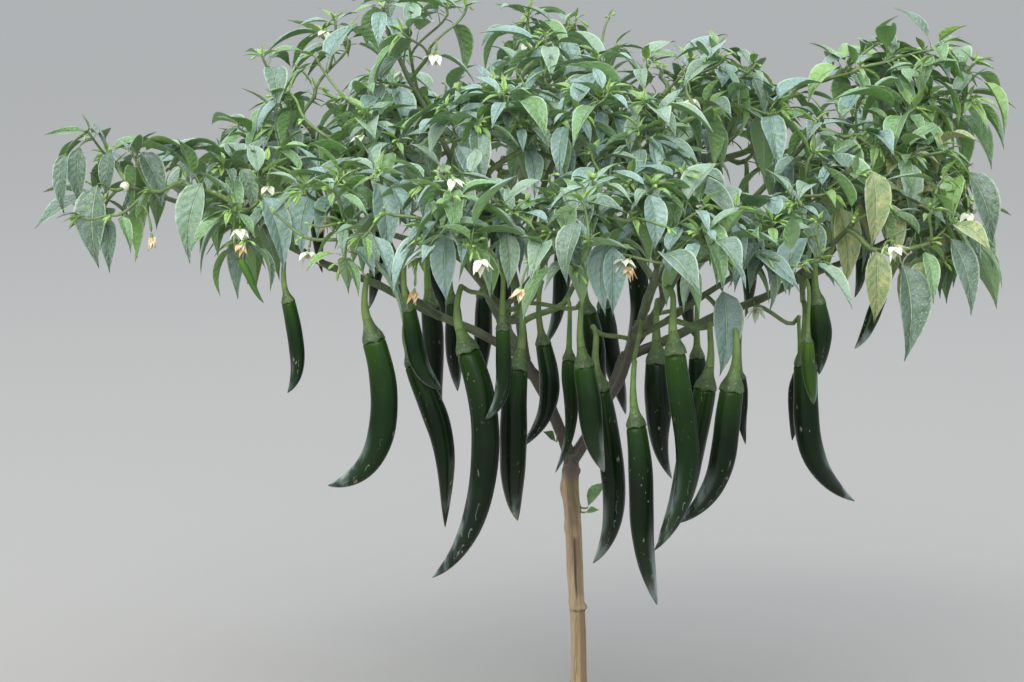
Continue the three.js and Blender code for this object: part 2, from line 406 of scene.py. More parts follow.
class Heap:
    """Many copies of bent templates that end up in one mesh."""

    def __init__(self):
        self.copies = []
        self.count = 0

    def add(self, template, places, uv=None, creased=False):
        """Adds copies by their vertices. uv is that of one copy's corners, wrapped round unless given."""
        size = len(template.station)
        uv = wrap_uv(template) if uv is None else uv
        places = places.reshape(-1, size, 3)
        copies = len(places)
        corners = template.corners + (self.count + size * np.arange(copies))[:, None]
        sizes, creases = np.tile(template.sizes, copies), np.tile(np.broadcast_to(creased, size), copies)
        self.copies.append((places.reshape(-1, 3), corners.ravel(), sizes, np.tile(uv, (copies, 1)), creases))
        self.count += copies * size

    def add_tubes(self, template, paths, radii):
        """Round tubes along N paths, with a radius for each of their points."""
        self.add(template, round_paths(template, paths, radii[:, template.station]))

    def piece(self, name, material, slot, replaced=()):
        """Writes the heap out as one mesh object that rides on the plant."""
        places, corners, sizes, uvs, creased = map(np.concatenate, zip(*self.copies))
        mesh = bpy.data.meshes.new(name)
        mesh.vertices.add(len(places))
        mesh.vertices.foreach_set("co", places.astype(np.float32).ravel())
        mesh.loops.add(len(corners))
        mesh.loops.foreach_set("vertex_index", corners.astype(np.int32))
        mesh.polygons.add(len(sizes))
        mesh.polygons.foreach_set("loop_start", (np.cumsum(sizes) - sizes).astype(np.int32))
        mesh.uv_layers.new(name="OFBake").data.foreach_set("uv", uvs.astype(np.float32).ravel())
        mesh.update(calc_edges=True)
        mesh.validate()
        mesh.polygons.foreach_set("use_smooth", np.ones(len(mesh.polygons), bool))
        ends = np.empty(len(mesh.edges) * 2, np.int32)
        mesh.edges.foreach_get("vertices", ends)
        sharp = creased[ends].reshape(-1, 2).all(axis=1)
        mesh.attributes.new("sharp_edge", "BOOLEAN", "EDGE").data.foreach_set("value", sharp)
        mesh.materials.append(material)
        piece = add_object(name, mesh)
        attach(piece, "root")
        if replaced:
            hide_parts(*replaced)
        print(f"{name}: {(sizes - 2).sum()} triangles")


print("heaps can gather copies")

# %% [markdown]
# ## The limbs
# The frame's limbs are straight-sided solids that stop where they meet a mass. Here the same limbs are laid
# along the same lines, but run on into the masses, where twigs take over. `share` is how far up its parent a
# limb starts, `dip` how far its middle hangs below the straight line between its ends, and `root` and `tip`
# are its radii.

# %% Limbs listed
FORK_HEIGHT = 153
STEM_SWAY = [(0, 0, 0), (0.4, 0, 39), (-1.8, 0.6, 80), (-3, 1, 111), (-4.7, 0.6, 132), (-4.3, 0, FORK_HEIGHT)]
BOUGH_TIP = 1.2
Limb = namedtuple("Limb", "name parent share end root dip tip", defaults=[BOUGH_TIP])
INNER_LIMBS = [Limb(*row) for row in (
    ("leader_left", "stem", 0.97, (-35, -8, 214), 3.4, -4, 2.9),
    ("leader_right", "stem", 0.97, (28, 6, 212), 3.5, 5, 3.0),
    ("limb_high_left", "leader_left", 0.95, (-47, -22, 296), 2.9, -10, 2.3),
    ("limb_back_left", "leader_left", 0.8, (-64, 62, 268), 2.8, 6, 2.2),
    ("limb_front_left", "limb_high_left", 0.3, (-48, -92, 254), 2.3, 5, 1.9),
    ("limb_high_right", "leader_right", 0.96, (74, -2, 288), 2.6, 3, 2.1),
    ("limb_front_right", "leader_right", 0.62, (34, -66, 240), 2.6, 8, 2.1),
    ("limb_back_right", "leader_right", 0.9, (52, 72, 262), 2.8, 5, 2.2),
)]
BOUGHS = [Limb("bough_" + row[0], *row[1:]) for row in (
    ("far_left", "leader_left", 0.98, (-267, -26, 317), 2.5, -5),
    ("far_right", "leader_right", 0.98, (216, -38, 300), 2.8, 0),
    ("left", "bough_far_left", 0.5, (-194, -78, 307), 1.8, 3),
    ("left_front", "bough_far_left", 0.22, (-136, -132, 305), 1.9, 6),
    ("left_inner", "bough_far_left", 0.3, (-128, -36, 340), 1.9, 5),
    ("upper_left", "limb_back_left", 0.86, (-178, 22, 366), 2.0, 8),
    ("top_left", "limb_high_left", 0.8, (-116, 38, 407), 2.1, 6),
    ("middle_left", "limb_high_left", 0.92, (-62, -64, 354), 2.0, 2),
    ("top_middle", "limb_high_left", 0.66, (2, 8, 384), 2.0, 8),
    ("front_left", "limb_front_left", 0.96, (-78, -164, 305), 1.8, 3),
    ("front_middle", "limb_front_left", 0.9, (-14, -182, 302), 1.8, 4),
    ("front_right", "limb_front_right", 0.94, (50, -158, 304), 1.9, 4),
    ("right_front", "limb_front_right", 0.86, (106, -122, 290), 1.9, 3),
    ("middle_right", "limb_high_right", 0.5, (26, -84, 350), 1.9, 4),
    ("upper_right", "limb_high_right", 0.94, (88, 4, 372), 1.9, 3),
    ("right_inner", "limb_high_right", 0.88, (142, -12, 350), 1.9, 5),
    ("right", "bough_far_right", 0.42, (158, -82, 300), 1.9, 4),
    ("top_right", "bough_far_right", 0.6, (212, 34, 374), 2.0, 7),
    ("back_left", "limb_back_left", 0.95, (-200, 92, 318), 1.9, 5),
    ("back_inner_left", "limb_back_left", 0.98, (-100, 136, 338), 1.9, 3),
    ("top_back", "limb_back_left", 0.7, (-12, 96, 396), 2.0, 6),
    ("back_middle", "limb_back_right", 0.84, (-2, 172, 326), 2.0, 4),
    ("back_inner_right", "limb_back_right", 0.97, (96, 132, 336), 1.9, 3),
    ("back_right", "limb_back_right", 0.92, (188, 96, 310), 1.9, 5),
)]
LIMBS = INNER_LIMBS + BOUGHS
MASSES = [bough.name.replace("bough", "foliage") for bough in BOUGHS]
print("limbs:", len(LIMBS), "and masses of foliage:", len(MASSES))

# %% [markdown]
# The stem sways through a few points. A limb bends once, and turns a little to alternate sides at its
# joints, as wood does that forked there while it grew.

# %% Middle lines
LINE_POINTS = 60
JOINT_SPACING = 32
JOINT_SWING = 1.1 * MM
SWING_ACROSS = (0.3, -0.9, 0.3)


def line_length(line):
    return np.linalg.norm(np.diff(line, axis=0), axis=1).sum()


def evenly(points, count):
    """Points at even steps along a line of points."""
    steps = np.linalg.norm(np.diff(points, axis=0), axis=1)
    travelled = np.concatenate([[0], np.cumsum(steps)])
    wanted = np.linspace(0, travelled[-1], count)
    return np.stack([np.interp(wanted, travelled, points[:, axis]) for axis in range(3)], axis=1)


def smooth_line(points, count):
    """A Catmull-Rom line through the points."""
    points = np.array(points, float)
    padded = np.vstack([2 * points[0] - points[1], points, 2 * points[-1] - points[-2]])
    t = np.linspace(0, 1, 24)[:, None]
    stretches = []
    for a, b, c, d in zip(padded, padded[1:], padded[2:], padded[3:]):
        curve = 2 * b + (c - a) * t + (2 * a - 5 * b + 4 * c - d) * t**2 + (3 * b - a - 3 * c + d) * t**3
        stretches.append(curve / 2)
    return evenly(np.vstack(stretches), count)


def cubic_line(start, first, second, end, count, fineness=30):
    """A curve that leaves its start towards one point and reaches its end from another."""
    t = np.linspace(0, 1, fineness)[:, None]
    curve = (1 - t) ** 3 * start + 3 * t * (1 - t) ** 2 * first + 3 * t**2 * (1 - t) * second + t**3 * end
    return evenly(curve, count)


def point_at(line, share):
    place = share * (len(line) - 1)
    low = min(int(place), len(line) - 2)
    return line[low] + (line[low + 1] - line[low]) * (place - low)


def joints_of(length):
    """How many stretches of wood between joints make up a limb of a length in millimetres."""
    return max(2, round(length / JOINT_SPACING))


def bent_line(start, end, dip):
    """A limb's line: a shallow bend that swings a little to alternate sides from joint to joint."""
    middle = (start + end) / 2 - UP * 2 * dip * MM
    t = np.linspace(0, 1, 80)[:, None]
    curve = (1 - t) ** 2 * start + 2 * t * (1 - t) * middle + t**2 * end
    knots = np.arange(joints_of(np.linalg.norm(end - start) / MM) + 1)
    swing = np.where(knots % 2, JOINT_SWING, -JOINT_SWING)
    swing[[0, -1]] = 0
    sideways = np.cross(unit(end - start), SWING_ACROSS)
    return evenly(curve + sideways * np.interp(t, knots / knots[-1], swing), LINE_POINTS)


lines = {"stem": smooth_line(STEM_SWAY, LINE_POINTS) * MM}
for limb in LIMBS:
    lines[limb.name] = bent_line(point_at(lines[limb.parent], limb.share), np.array(limb.end) * MM, limb.dip)
print("limbs laid out:", len(lines))

# %% [markdown]
# ## Bark
# Low down the stem is old and tan, with cork ribs that run up it, a dark groove and swollen rings where
# leaves once grew. Further up the wood is still green: smooth, olive to grey, and browner at the first
# forks. Both have that relief in their shape.

# %% Relief of the stem
# Rings right round the stem: height, swell and how tall they are
RINGS = [(57, 0.10, 1.4), (142, 0.35, 2.4)]
# Swellings and notches on one side: height, degrees round the stem, swell, how tall and how wide they are
SCARS = [
    (131, 180, 1.5, 5.5, 0.75), (142, -20, 1.0, 2.0, 0.7), (119, 0, 0.8, 2.4, 0.5),
    (107, 200, 0.8, 3.2, 0.6), (103, -84, -0.6, 1.6, 0.25), (57.5, -60, 0.8, 1.3, 0.8),
    (58.5, -8, 1.5, 1.7, 0.45), (54.5, -80, -0.5, 0.9, 0.5), (61, 160, 0.5, 2.6, 0.8),
    (84, 95, 0.8, 3.0, 0.6), (31, 150, 0.6, 3.0, 0.6), (24, 40, 0.6, 3.0, 0.5),
]
GROOVE_SIDE = math.radians(-88)
STEP_SIDE = math.radians(-45)


def ease(value, low, high):
    t = np.clip((value - low) / (high - low), 0, 1)
    return t * t * (3 - 2 * t)


def hump(value, middle, width):
    return np.exp(-(((value - middle) / width) ** 2))


def beside(angle, side):
    """How far round the stem an angle is from a side, between minus and plus half a turn."""
    return np.angle(np.exp(1j * (angle - side)))


def stem_radius(share, angle):
    """The stem's radius in millimetres up it and round it: flare, shaft, rings, scars, ribs and groove."""
    height = share * FORK_HEIGHT
    radius = 4.6 + 0.35 * ease(height, 62, 85) - 0.55 * ease(height, 138, 150) + 2.6 * np.exp(-height / 9)
    for at, swell, tall in RINGS:
        radius = radius + swell * hump(height, at, tall)
    for at, side, swell, tall, wide in SCARS:
        radius = radius + swell * hump(height, at, tall) * hump(beside(angle, math.radians(side)), 0, wide)
    twisted = angle + height / 90
    ribs = 0.035 * np.cos(3 * twisted) + 0.022 * np.cos(7 * twisted + 1.1 * np.sin(height / 17))
    ribs = ribs + 0.014 * np.cos(17 * twisted + 2 * np.sin(height / 9)) + 0.008 * np.cos(31 * twisted)
    groove = 0.20 * hump(beside(angle, GROOVE_SIDE), 0, 0.19) * ease(height, 60, 66)
    groove = groove * (1 - ease(height, 98, 102))
    step = 0.08 * hump(beside(angle, STEP_SIDE), 0, 0.7) * (1 - ease(height, 55, 56.5)) * ease(height, 8, 30)
    return radius * (1 + ribs - groove - step)


print("the stem's radius at its foot, in mm:", round(stem_radius(0, 0), 2))

# %% [markdown]
# The stem is laid along its middle line, and its ends are cut flat. Its finish reads the height above the
# ground and the place round the stem, so that the streaks, the groove with its painted shade and the darker
# patch below the lower ring lie on the relief, and painted light falls on the left side.

# %% Stem mesh and cork


def add_limb(heap, template, line, radius, frames=None):
    """Adds a limb with flat ends, whose radius follows from the share of its length and the angle."""
    share = np.concatenate([[0], np.linspace(0, 1, template.stations - 1), [1]])
    path = np.stack([point_at(line, s) for s in share])
    spaced = path.copy()
    spaced[0] -= path[2] - path[1]
    spaced[-1] += path[-2] - path[-3]
    reach = np.where(template.ends, 0, radius(share[template.station], template.angle) * MM)
    heap.add(template, round_paths(template, path[None], reach, frames or frames_along(spaced[None])))


def cork_material():
    """Dry tan cork with long darker streaks, greyer and purple towards the fork. The groove and the brown
    strip round it carry painted shade, and the left side, which faces the light, carries painted light.
    """
    recipe = finish("stem_cork", Roughness=0.8)
    height = recipe.height()
    around = recipe.axes(recipe.square())[0]
    streak = recipe.noise(520, 4, (1, 1, 0.045))
    fibre = recipe.noise(1700, 3, (1, 1, 0.07))
    patch = recipe.noise(75, 3, (1, 1, 0.4))
    middle = GROOVE_SIDE / TURN + 1
    wander = (patch - 0.5) * 0.04
    side = (around - middle + wander).maths("ABSOLUTE")
    slot = height.step(0.060, 0.070) * height.step(0.104, 0.098)
    # Painted shade in the groove: a brown strip round it and a near-black line down its middle
    shade_round_groove = (around + wander).near(middle + 0.03, 0.085, 0.055) * slot
    groove = (side + (streak - 0.5) * 0.03).step(0.034, 0.008) * slot
    # Darker brown on the stepped-in side below the lower ring
    dark_patch_below_ring = around.near(0.865, 0.10, 0.06) * height.step(0.0565, 0.0545)
    ring = height.near(0.0562, 0.0013, 0.0004) * patch.step(0.40, 0.50)
    olive = side.step(0.13, 0.04) * height.step(0.103, 0.112)
    purple = (height + (patch - 0.5) * 0.02).step(0.134, 0.143)
    recipe.paint(Base_Color=recipe.coats(
        (0.290, 0.200, 0.102),
        (patch.step(0.38, 0.62), (0.370, 0.285, 0.172)),
        (streak.step(0.56, 0.38) * 0.6, (0.17, 0.125, 0.075)),
        (fibre.step(0.50, 0.66) * 0.55, (0.50, 0.40, 0.255)),
        # painted shade round the groove and in it
        (shade_round_groove * 0.75, (0.185, 0.118, 0.068)),
        (groove * 0.85, (0.060, 0.040, 0.026)),
        (dark_patch_below_ring * (0.35 + streak * 0.8), (0.20, 0.125, 0.065)),
        (ring * 0.85, (0.10, 0.055, 0.035)),
        # Painted light: the left side of the stem, which faces the light, is lighter
        (0.4 * around.near(0.56, 0.13, 0.05), (0.52, 0.38, 0.27)),
        (olive * (0.25 + streak * 0.8), (0.105, 0.080, 0.040)),
        (purple * 0.85, (0.105, 0.085, 0.078)),
    ))
    recipe.bump(streak * 0.6 + fibre * 0.4, 0.0008, 0.9)
    return recipe.owner


STEM_TEMPLATE = tube_template(72, 260)
STEM_FRAMES = [np.tile(axis, (1, STEM_TEMPLATE.stations + 1, 1)) for axis in np.eye(3)[[2, 0, 1]]]
stem = Heap()
add_limb(stem, STEM_TEMPLATE, lines["stem"], stem_radius, STEM_FRAMES)
stem.piece("stem_bark", cork_material(), "stem_bark", ["stem"])

# %% [markdown]
# The limbs are thin, so one tube of sixteen sides each is enough. Each swells a little at its joints and
# where it leaves its parent, and carries shallow ridges that run down from the leaf scars.

# %% Limbs with their joints
LIMB_TEMPLATE = tube_template(16, 60)
LIMB_FULLNESS = 1.1


def limb_radius(limb, share, angle):
    """A limb's radius in millimetres: taper, swollen joints, ridges and small bumps."""
    length = line_length(lines[limb.name]) / MM
    radius = (limb.root + (limb.tip - limb.root) * share) * LIMB_FULLNESS
    stretches = joints_of(length)
    joint = np.rint(share * stretches)
    nearest = np.abs(share * stretches - joint) * length / stretches
    swell = 0.20 * hump(nearest, 0, 1.8) * (1 + 0.5 * np.cos(angle + 2.4 * joint))
    swell = swell + 0.30 * hump(share * length, 0, 5)
    ridges = 0.05 * np.cos(3 * angle + 2 * share) + 0.03 * np.cos(7 * angle - 3 * share)
    knots = 0.035 * np.sin(length * share / 2.3 + angle) * np.sin(length * share / 5.1 + 1.7 * angle)
    return radius * (1 + swell * np.exp(-limb.root / 6) + ridges + knots)


def green_wood_material():
    """Smooth olive wood, greyer and brown in patches, darker low down at the first forks."""
    recipe = finish("green_wood", Roughness=0.55)
    patch = recipe.noise(70, 3)
    speck = recipe.noise(900, 2, (1, 1, 0.5))
    low = (recipe.height() + (patch - 0.5) * 0.05).step(0.245, 0.205)
    recipe.paint(Base_Color=recipe.coats(
        (0.075, 0.105, 0.040),
        (patch.step(0.40, 0.62), (0.115, 0.150, 0.070)),
        (low * 0.9, (0.078, 0.062, 0.052)),
        (speck.step(0.60, 0.72) * 0.35, (0.22, 0.21, 0.15)),
    ))
    recipe.bump(speck, 0.0004, 0.6)
    return recipe.owner


limb_heap = Heap()
for limb in LIMBS:
    add_limb(limb_heap, LIMB_TEMPLATE, lines[limb.name], partial(limb_radius, limb))
limb_heap.piece("limb_bark", green_wood_material(), "limb_bark", [limb.name for limb in LIMBS])

# %% [markdown]
# ## Shoots that are seen
# Some shoots stand out in the view, and they are listed by the pixel of their tip. They come first, and all
# others have to keep away from them.

# %% Seen shoots
# Shoots seen in the photograph: pixel of the tip, and how far behind the stem it stands, in millimetres
SEEN_TIPS = [
    (88, 132, -30), (130, 150, -45), (222, 168, -60), (262, 56, 10), (288, 92, -10), (337, 176, -120),
    (365, 112, -40), (374, 78, 10), (438, 140, -70), (484, 206, -160), (524, 86, -30), (545, 36, 10),
    (574, 90, -40), (632, 182, -140), (650, 62, 0), (692, 60, 10), (700, 172, -90), (780, 112, -30),
    (829, 193, -80), (880, 190, -60), (860, 68, 20), (897, 58, 20), (930, 96, 10), (975, 62, 30),
    (693, 229, -130), (731, 252, -130), (430, 48, 20), (500, 86, 0), (335, 20, 40), (560, 200, -170),
]
mass_boxes = np.array([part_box(mass) for mass in MASSES])
mass_middles = mass_boxes.sum(axis=1) / 2
mass_halves = (mass_boxes[:, 1] - mass_boxes[:, 0]) / 2


def inside_crown(points, grow=1.0):
    """Which points lie in any mass of foliage."""
    away = (points[:, None, :] - mass_middles) / (mass_halves * grow)
    return (np.linalg.norm(away, axis=-1) < 1).any(axis=1)


seen_tips = np.array([seen_at(*tip) for tip in SEEN_TIPS])
print("seen shoots inside the crown:", int(inside_crown(seen_tips, 1.05).sum()), "of", len(seen_tips))

# %% [markdown]
# ## Where other shoots may end
# A shoot ends near the outside of the crown, with room for its own leaves between its tip and the crown's
# outline. Tips are drawn at random inside the masses of foliage and kept if they are far enough from the
# others, which spreads them like real shoots that share the light.

# %% Shoot tips
seeded = np.random.default_rng(11)
LEAF_ROOM = 22 * MM
TOP_ROOM = 12 * MM
HANGING_ROOM = 24 * MM
SHELL_DEPTH = 50 * MM
TIP_SPACING = 20.5 * MM
DRAW_ROUNDS = 70
DRAWS = 400
CROWN_HEART = np.array([-0.02, 0.0, 0.23])
# Masses with more sky between their shoots, and by how much those stand further apart
AIRY = {
    "top_left": 1.5, "top_middle": 1.3, "top_back": 1.4, "far_left": 1.2, "upper_left": 1.3, "top_right": 1.2,
}


def outward(points):
    """The way a shoot at each point looks for light: away from the crown's heart, and up."""
    return unit(unit((points - CROWN_HEART) * np.array([1, 1, 0.8])) + UP * 0.35)


def may_be_tip(points):
    ways = outward(points)
    flat = unit(ways * np.array([1, 1, 0.35]))
    roomy = inside_crown(points + flat * LEAF_ROOM) & inside_crown(points + UP * TOP_ROOM)
    roomy = roomy & inside_crown(points - UP * HANGING_ROOM)
    shell = ~inside_crown(points + ways * SHELL_DEPTH)
    return roomy & shell & inside_crown(points)


def draw_tips(first_tips):
    tips = list(first_tips)
    room = [TIP_SPACING * AIRY.get(mass.removeprefix("foliage_"), 1.0) for mass in MASSES]
    for _ in range(DRAW_ROUNDS):
        which = seeded.integers(0, len(MASSES), DRAWS)
        ways = unit(seeded.normal(size=(DRAWS, 3)))
        reach = seeded.uniform(0, 1, (DRAWS, 1)) ** (1 / 3)
        points = mass_middles[which] + ways * reach * mass_halves[which]
        for number in np.flatnonzero(may_be_tip(points)):
            point = points[number]
            if np.linalg.norm(np.array(tips) - point, axis=1).min() > room[which[number]]:
                tips.append(point)
    return np.array(tips)


tips = draw_tips(seen_tips)
print("shoot tips:", len(tips))

# %% [markdown]
# ## Pods that are seen, and the forks they hang from
# Chilli pods hang from forks on stalks that start upward and then turn down. The pods are listed first,
# because a twig has to reach the place each stalk starts from. Each row holds the pixel of the pod's
# shoulder, how far behind the stem it hangs, and the real sizes. Leans are degrees from straight down,
# towards +X, at the shoulder and at the tip, and a bow bends the pod the one way first and then the other.

# %% Pods listed
Pod = namedtuple("Pod", "u v behind length thick lean_top lean_tip tone bow", defaults=[0])
PODS = [Pod(*row) for row in (
    (240, 258, -95, 30, 5.0, 22, 38, "young"), (288, 301, -85, 56, 9.0, 16, -34, "green"),
    (373, 338, -95, 104, 15.5, 9, -72, "green", 9), (408, 309, -100, 54, 11.0, 8, 52, "green"),
    (413, 362, -70, 102, 14.5, 13, 6, "dark", 8), (430, 306, 10, 92, 13.0, 2, 14, "deep"),
    (467, 349, -105, 146, 16.0, 10, -48, "dark", 7), (503, 328, -120, 57, 9.6, 6, -46, "green"),
    (518, 366, -85, 92, 15.5, -6, 12, "dark", -2), (543, 343, -60, 70, 12.0, 2, -44, "dark", 8),
    (569, 358, -15, 72, 10.0, 3, -26, "green"), (584, 365, -105, 64, 13.5, 6, 20, "green"),
    (600, 388, -70, 108, 15.0, 14, -34, "dark"), (636, 424, -110, 107, 14.5, 3, 14, "dark"),
    (657, 360, 0, 74, 17.0, -2, 26, "deep"), (675, 351, -125, 121, 14.5, 11, -39, "green", -1),
    (706, 386, -70, 98, 15.5, -8, -34, "dark"), (732, 388, -105, 90, 15.5, -4, -58, "dark"),
    (697, 356, 30, 66, 12.0, 0, -6, "deep"), (808, 342, -95, 37, 8.0, 4, 10, "bright"),
    (817, 302, -85, 43, 12.5, 6, -6, "green"), (805, 362, -70, 93, 14.5, 4, 52, "dark", -6),
    (797, 376, 20, 40, 8.0, -4, -2, "deep"), (886, 282, -60, 44, 8.5, -20, -40, "green"),
    (741, 378, -50, 40, 7.0, 2, 8, "deep"), (588, 312, 30, 62, 13.0, 8, 20, "dark"),
    (604, 306, 60, 70, 13.0, 10, 16, "deep"), (452, 302, 60, 56, 12.0, 4, 2, "dark"),
    (484, 296, 70, 58, 12.0, -4, 6, "deep"), (246, 206, 120, 50, 9.0, 6, -10, "green"),
    (318, 196, 150, 50, 10.0, -4, 18, "green"), (372, 208, 130, 66, 12.0, 8, -24, "dark"),
    (430, 218, 165, 80, 14.0, 4, 30, "dark"), (500, 228, 150, 86, 14.0, -2, 26, "dark"),
    (566, 226, 170, 84, 13.0, 0, -34, "dark"), (634, 234, 140, 80, 14.0, 6, -26, "dark"),
    (690, 220, 165, 78, 13.5, -6, 20, "dark"), (748, 218, 130, 64, 12.0, 6, -16, "green"),
    (806, 208, 110, 64, 12.5, 0, 24, "dark"), (866, 216, 90, 52, 9.5, 0, -22, "green"),
)]
STALK_RISE = 36
STALK_BACK = 4
STALK_LEAN = 18


def pod_fork(pod):
    """Where a pod's stalk starts: above its shoulder, a little nearer the stem."""
    sideways = -math.sin(math.radians(pod.lean_top)) * STALK_LEAN
    return seen_at(pod.u, pod.v, pod.behind) + np.array([sideways, STALK_BACK, STALK_RISE]) * MM


forks = np.array([pod_fork(pod) for pod in PODS])
print("pods placed by hand:", len(PODS))

# %% [markdown]
# ## Flowers and buds that are seen
# Chilli flowers nod on short arched stalks below the forks. Some are open, some have dried to brown rags
# round the young fruit, and one is a plump white bud.

# %% Flowers listed
Flower = namedtuple("Flower", "u v kind")
FLOWERS = [Flower(u, v, kind) for kind, pixels in (
    ("open", ((308, 254), (240, 231), (376, 160), (362, 137), (434, 56), (454, 180), (481, 262), (624, 261),
              (691, 101), (755, 310), (914, 240), (896, 249), (968, 215), (324, 33))),
    ("bud", ((125, 187),)),
    ("dried", ((152, 238), (414, 293), (520, 290), (325, 222), (242, 246), (630, 268))),
    ("open", ((268, 188),)),
) for u, v in pixels]
print("flowers placed by hand:", len(FLOWERS))

# %% [markdown]
# ## Twigs
# A twig grows to each fork and tip in turn, nearest first, from the place on the wood that reaches it with
# the least length and the smallest turn. That is how a real shoot system shares its wood, and it gives the
# wide, repeated forks of a chilli plant. Each twig's thickness then follows how many shoots it has to feed.

# %% Twig growth
Twig = namedtuple("Twig", "line start kind")
STEP = 5 * MM
SHORTEST_TWIG = 7 * MM
DEAREST = 1.75
STRAIGHT_GAIN = 0.55
UPHILL_GAIN = 0.2
ARRIVAL_SCATTER = 0.25
FORK_LOAD = 4


class Wood:
    """All wood so far, as points with a direction, and for each point the one that it grew from."""

    def __init__(self):
        self.points = []
        self.ways = []
        self.parents = []
        self.twigs = []

    def add_line(self, line, parent):
        first = len(self.points)
        self.points += list(line)
        self.ways += list(unit(np.gradient(line, axis=0)))
        self.parents += [parent, *range(first, first + len(line) - 1)]
        return first

    def best_start(self, goal):
        away = goal - np.array(self.points)
        distance = np.linalg.norm(away, axis=1)
        straight = (away * np.array(self.ways)).sum(axis=1) / np.maximum(distance, 1e-9)
        uphill = away[:, 2] / np.maximum(distance, 1e-9)
        cost = distance * (DEAREST - STRAIGHT_GAIN * straight - UPHILL_GAIN * uphill)
        cost[distance < SHORTEST_TWIG] += 1
        return int(cost.argmin())

    def grow(self, goal, arrive, kind):
        start = self.best_start(goal)
        origin = self.points[start]
        gap = np.linalg.norm(goal - origin)
        leave = unit(0.55 * self.ways[start] + unit(goal - origin))
        first, second = origin + leave * gap * 0.36, goal - arrive * gap * 0.30
        line = cubic_line(origin, first, second, goal, max(4, int(gap / STEP) + 1))
        self.twigs.append(Twig(line, self.add_line(line[1:], start), kind))

    def loads(self):
        """How many shoot tips each point of wood feeds, where a pod counts as several."""
        load = np.zeros(len(self.points))
        for twig in self.twigs:
            load[twig.start + len(twig.line) - 2] += 1 if twig.kind == "tip" else FORK_LOAD
        for number in reversed(range(len(self.points))):
            if self.parents[number] >= 0:
                load[self.parents[number]] += load[number]
        return load


def grow_wood():
    wood = Wood()
    for limb in LIMBS:
        count = max(6, int(line_length(lines[limb.name]) / STEP))
        bare = int(count * (0.3 if limb.name.startswith("leader") else 0.12))
        wood.add_line(evenly(lines[limb.name], count)[bare:], -1)
    goals = [(goal, unit(outward(goal) * 0.5 + UP), "fork") for goal in forks]
    goals += [(goal, outward(goal), "tip") for goal in tips]
    goals.sort(key=lambda item: np.linalg.norm(item[0] - CROWN_HEART))
    for goal, arrive, kind in goals:
        wood.grow(goal, unit(arrive + seeded.normal(size=3) * ARRIVAL_SCATTER), kind)
    return wood


wood = grow_wood()
loads = wood.loads()
print("twigs:", len(wood.twigs), "points of wood:", len(wood.points))

# %% [markdown]
# All twigs are given the same number of stations, so that one call bends the template along every one of
# them. The twigs are young wood: green, mottled, and lighter than the limbs.

# %% Twig meshes
TWIG_TEMPLATE = tube_template(8, 10)
SHOOT_RADIUS = 0.8
TWIG_LIMIT = 2.0


def resample(values, count):
    return np.interp(np.linspace(0, 1, count), np.linspace(0, 1, len(values)), values)


def make_twigs():
    count = TWIG_TEMPLATE.stations - 1
    paths, radii = [], []
    for twig in wood.twigs:
        fed = loads[twig.start:twig.start + len(twig.line) - 1]
        fed = np.concatenate([fed[:1], fed])
        path = evenly(twig.line, count)
        root = path[0] - (path[1] - path[0]) * 0.02
        tip = path[-1] + (path[-1] - path[-2]) * 0.15
        radius = np.minimum(SHOOT_RADIUS * np.maximum(fed, 1) ** 0.36, TWIG_LIMIT) * MM
        paths.append(np.vstack([root, path, tip]))
        radii.append([0, *resample(radius, count), 0])
    heap = Heap()
    heap.add_tubes(TWIG_TEMPLATE, np.array(paths), np.array(radii))
    return heap


shoot_material = mottled_material("green_shoot", 120, (0.10, 0.16, 0.05), (0.17, 0.24, 0.085), 0.5)
make_twigs().piece("twigs", shoot_material, "limb_bark")

# %% [markdown]
# ## Leaves
# A chilli leaf is an egg-shaped blade drawn out to a long point, folded a little along its midrib, that
# arches over and hangs. Young leaves at a shoot's tip are small, bright and upright, and each older one
# below is longer, bluer and hangs lower. Every leaf is listed with its own numbers, and all are bent at
# once. The blade is a closed lens, so that it has a real underside.

# %% Tones dealt out to leaves
TONES = ["shade", "blue", "grey_green", "mid", "fresh", "bright", "sky", "bronze"]
LEFT_SPRAY = -190 * MM
YELLOWED_MIDDLE = np.array([190, -80, 310]) * MM
YELLOWED_REACH = np.array([45, 60, 50]) * MM


def dealt(draw, *limits):
    """The first tone whose limit is above the draw."""
    return next(tone for limit, tone in limits if draw < limit)


def tone_for(age, place):
    """The tone of a leaf of an age from 0 to 1: bluer with age, and greener out at the sides."""
    draw = seeded.random()
    greener = seeded.random() < 0.8 * ease(abs(place[0]), 0.09, 0.2)
    if np.linalg.norm((place - YELLOWED_MIDDLE) / YELLOWED_REACH) < 1 and draw < 0.45:
        return "bronze"
    if age < 0.24:
        return "bright"
    if place[0] < LEFT_SPRAY:
        return dealt(draw, (0.75, "shade"), (1, "mid"))
    if age < 0.40:
        return "fresh" if greener or draw < 0.65 else "sky"
    if greener:
        return dealt(draw, (0.14, "fresh"), (0.74, "mid"), (0.84, "shade"), (1, "grey_green"))
    if age < 0.7:
        return dealt(draw, (0.4, "sky"), (0.65, "mid"), (1, "grey_green"))
    return dealt(draw, (0.38, "blue"), (0.60, "grey_green"), (0.86, "shade"), (1, "mid"))


print("leaf tones:", ", ".join(TONES))

# %% [markdown]
# Each leaf starts from the way it leaves the wood and from its age: the older it is, the longer and broader
# it grows and the further it droops.

# %% One leaf
Leaf = namedtuple("Leaf", "place heading climb droop length width fold roll curl stalk tone")


def heading_and_climb(way):
    return math.atan2(way[1], way[0]), math.asin(np.clip(way[2], -1, 1))


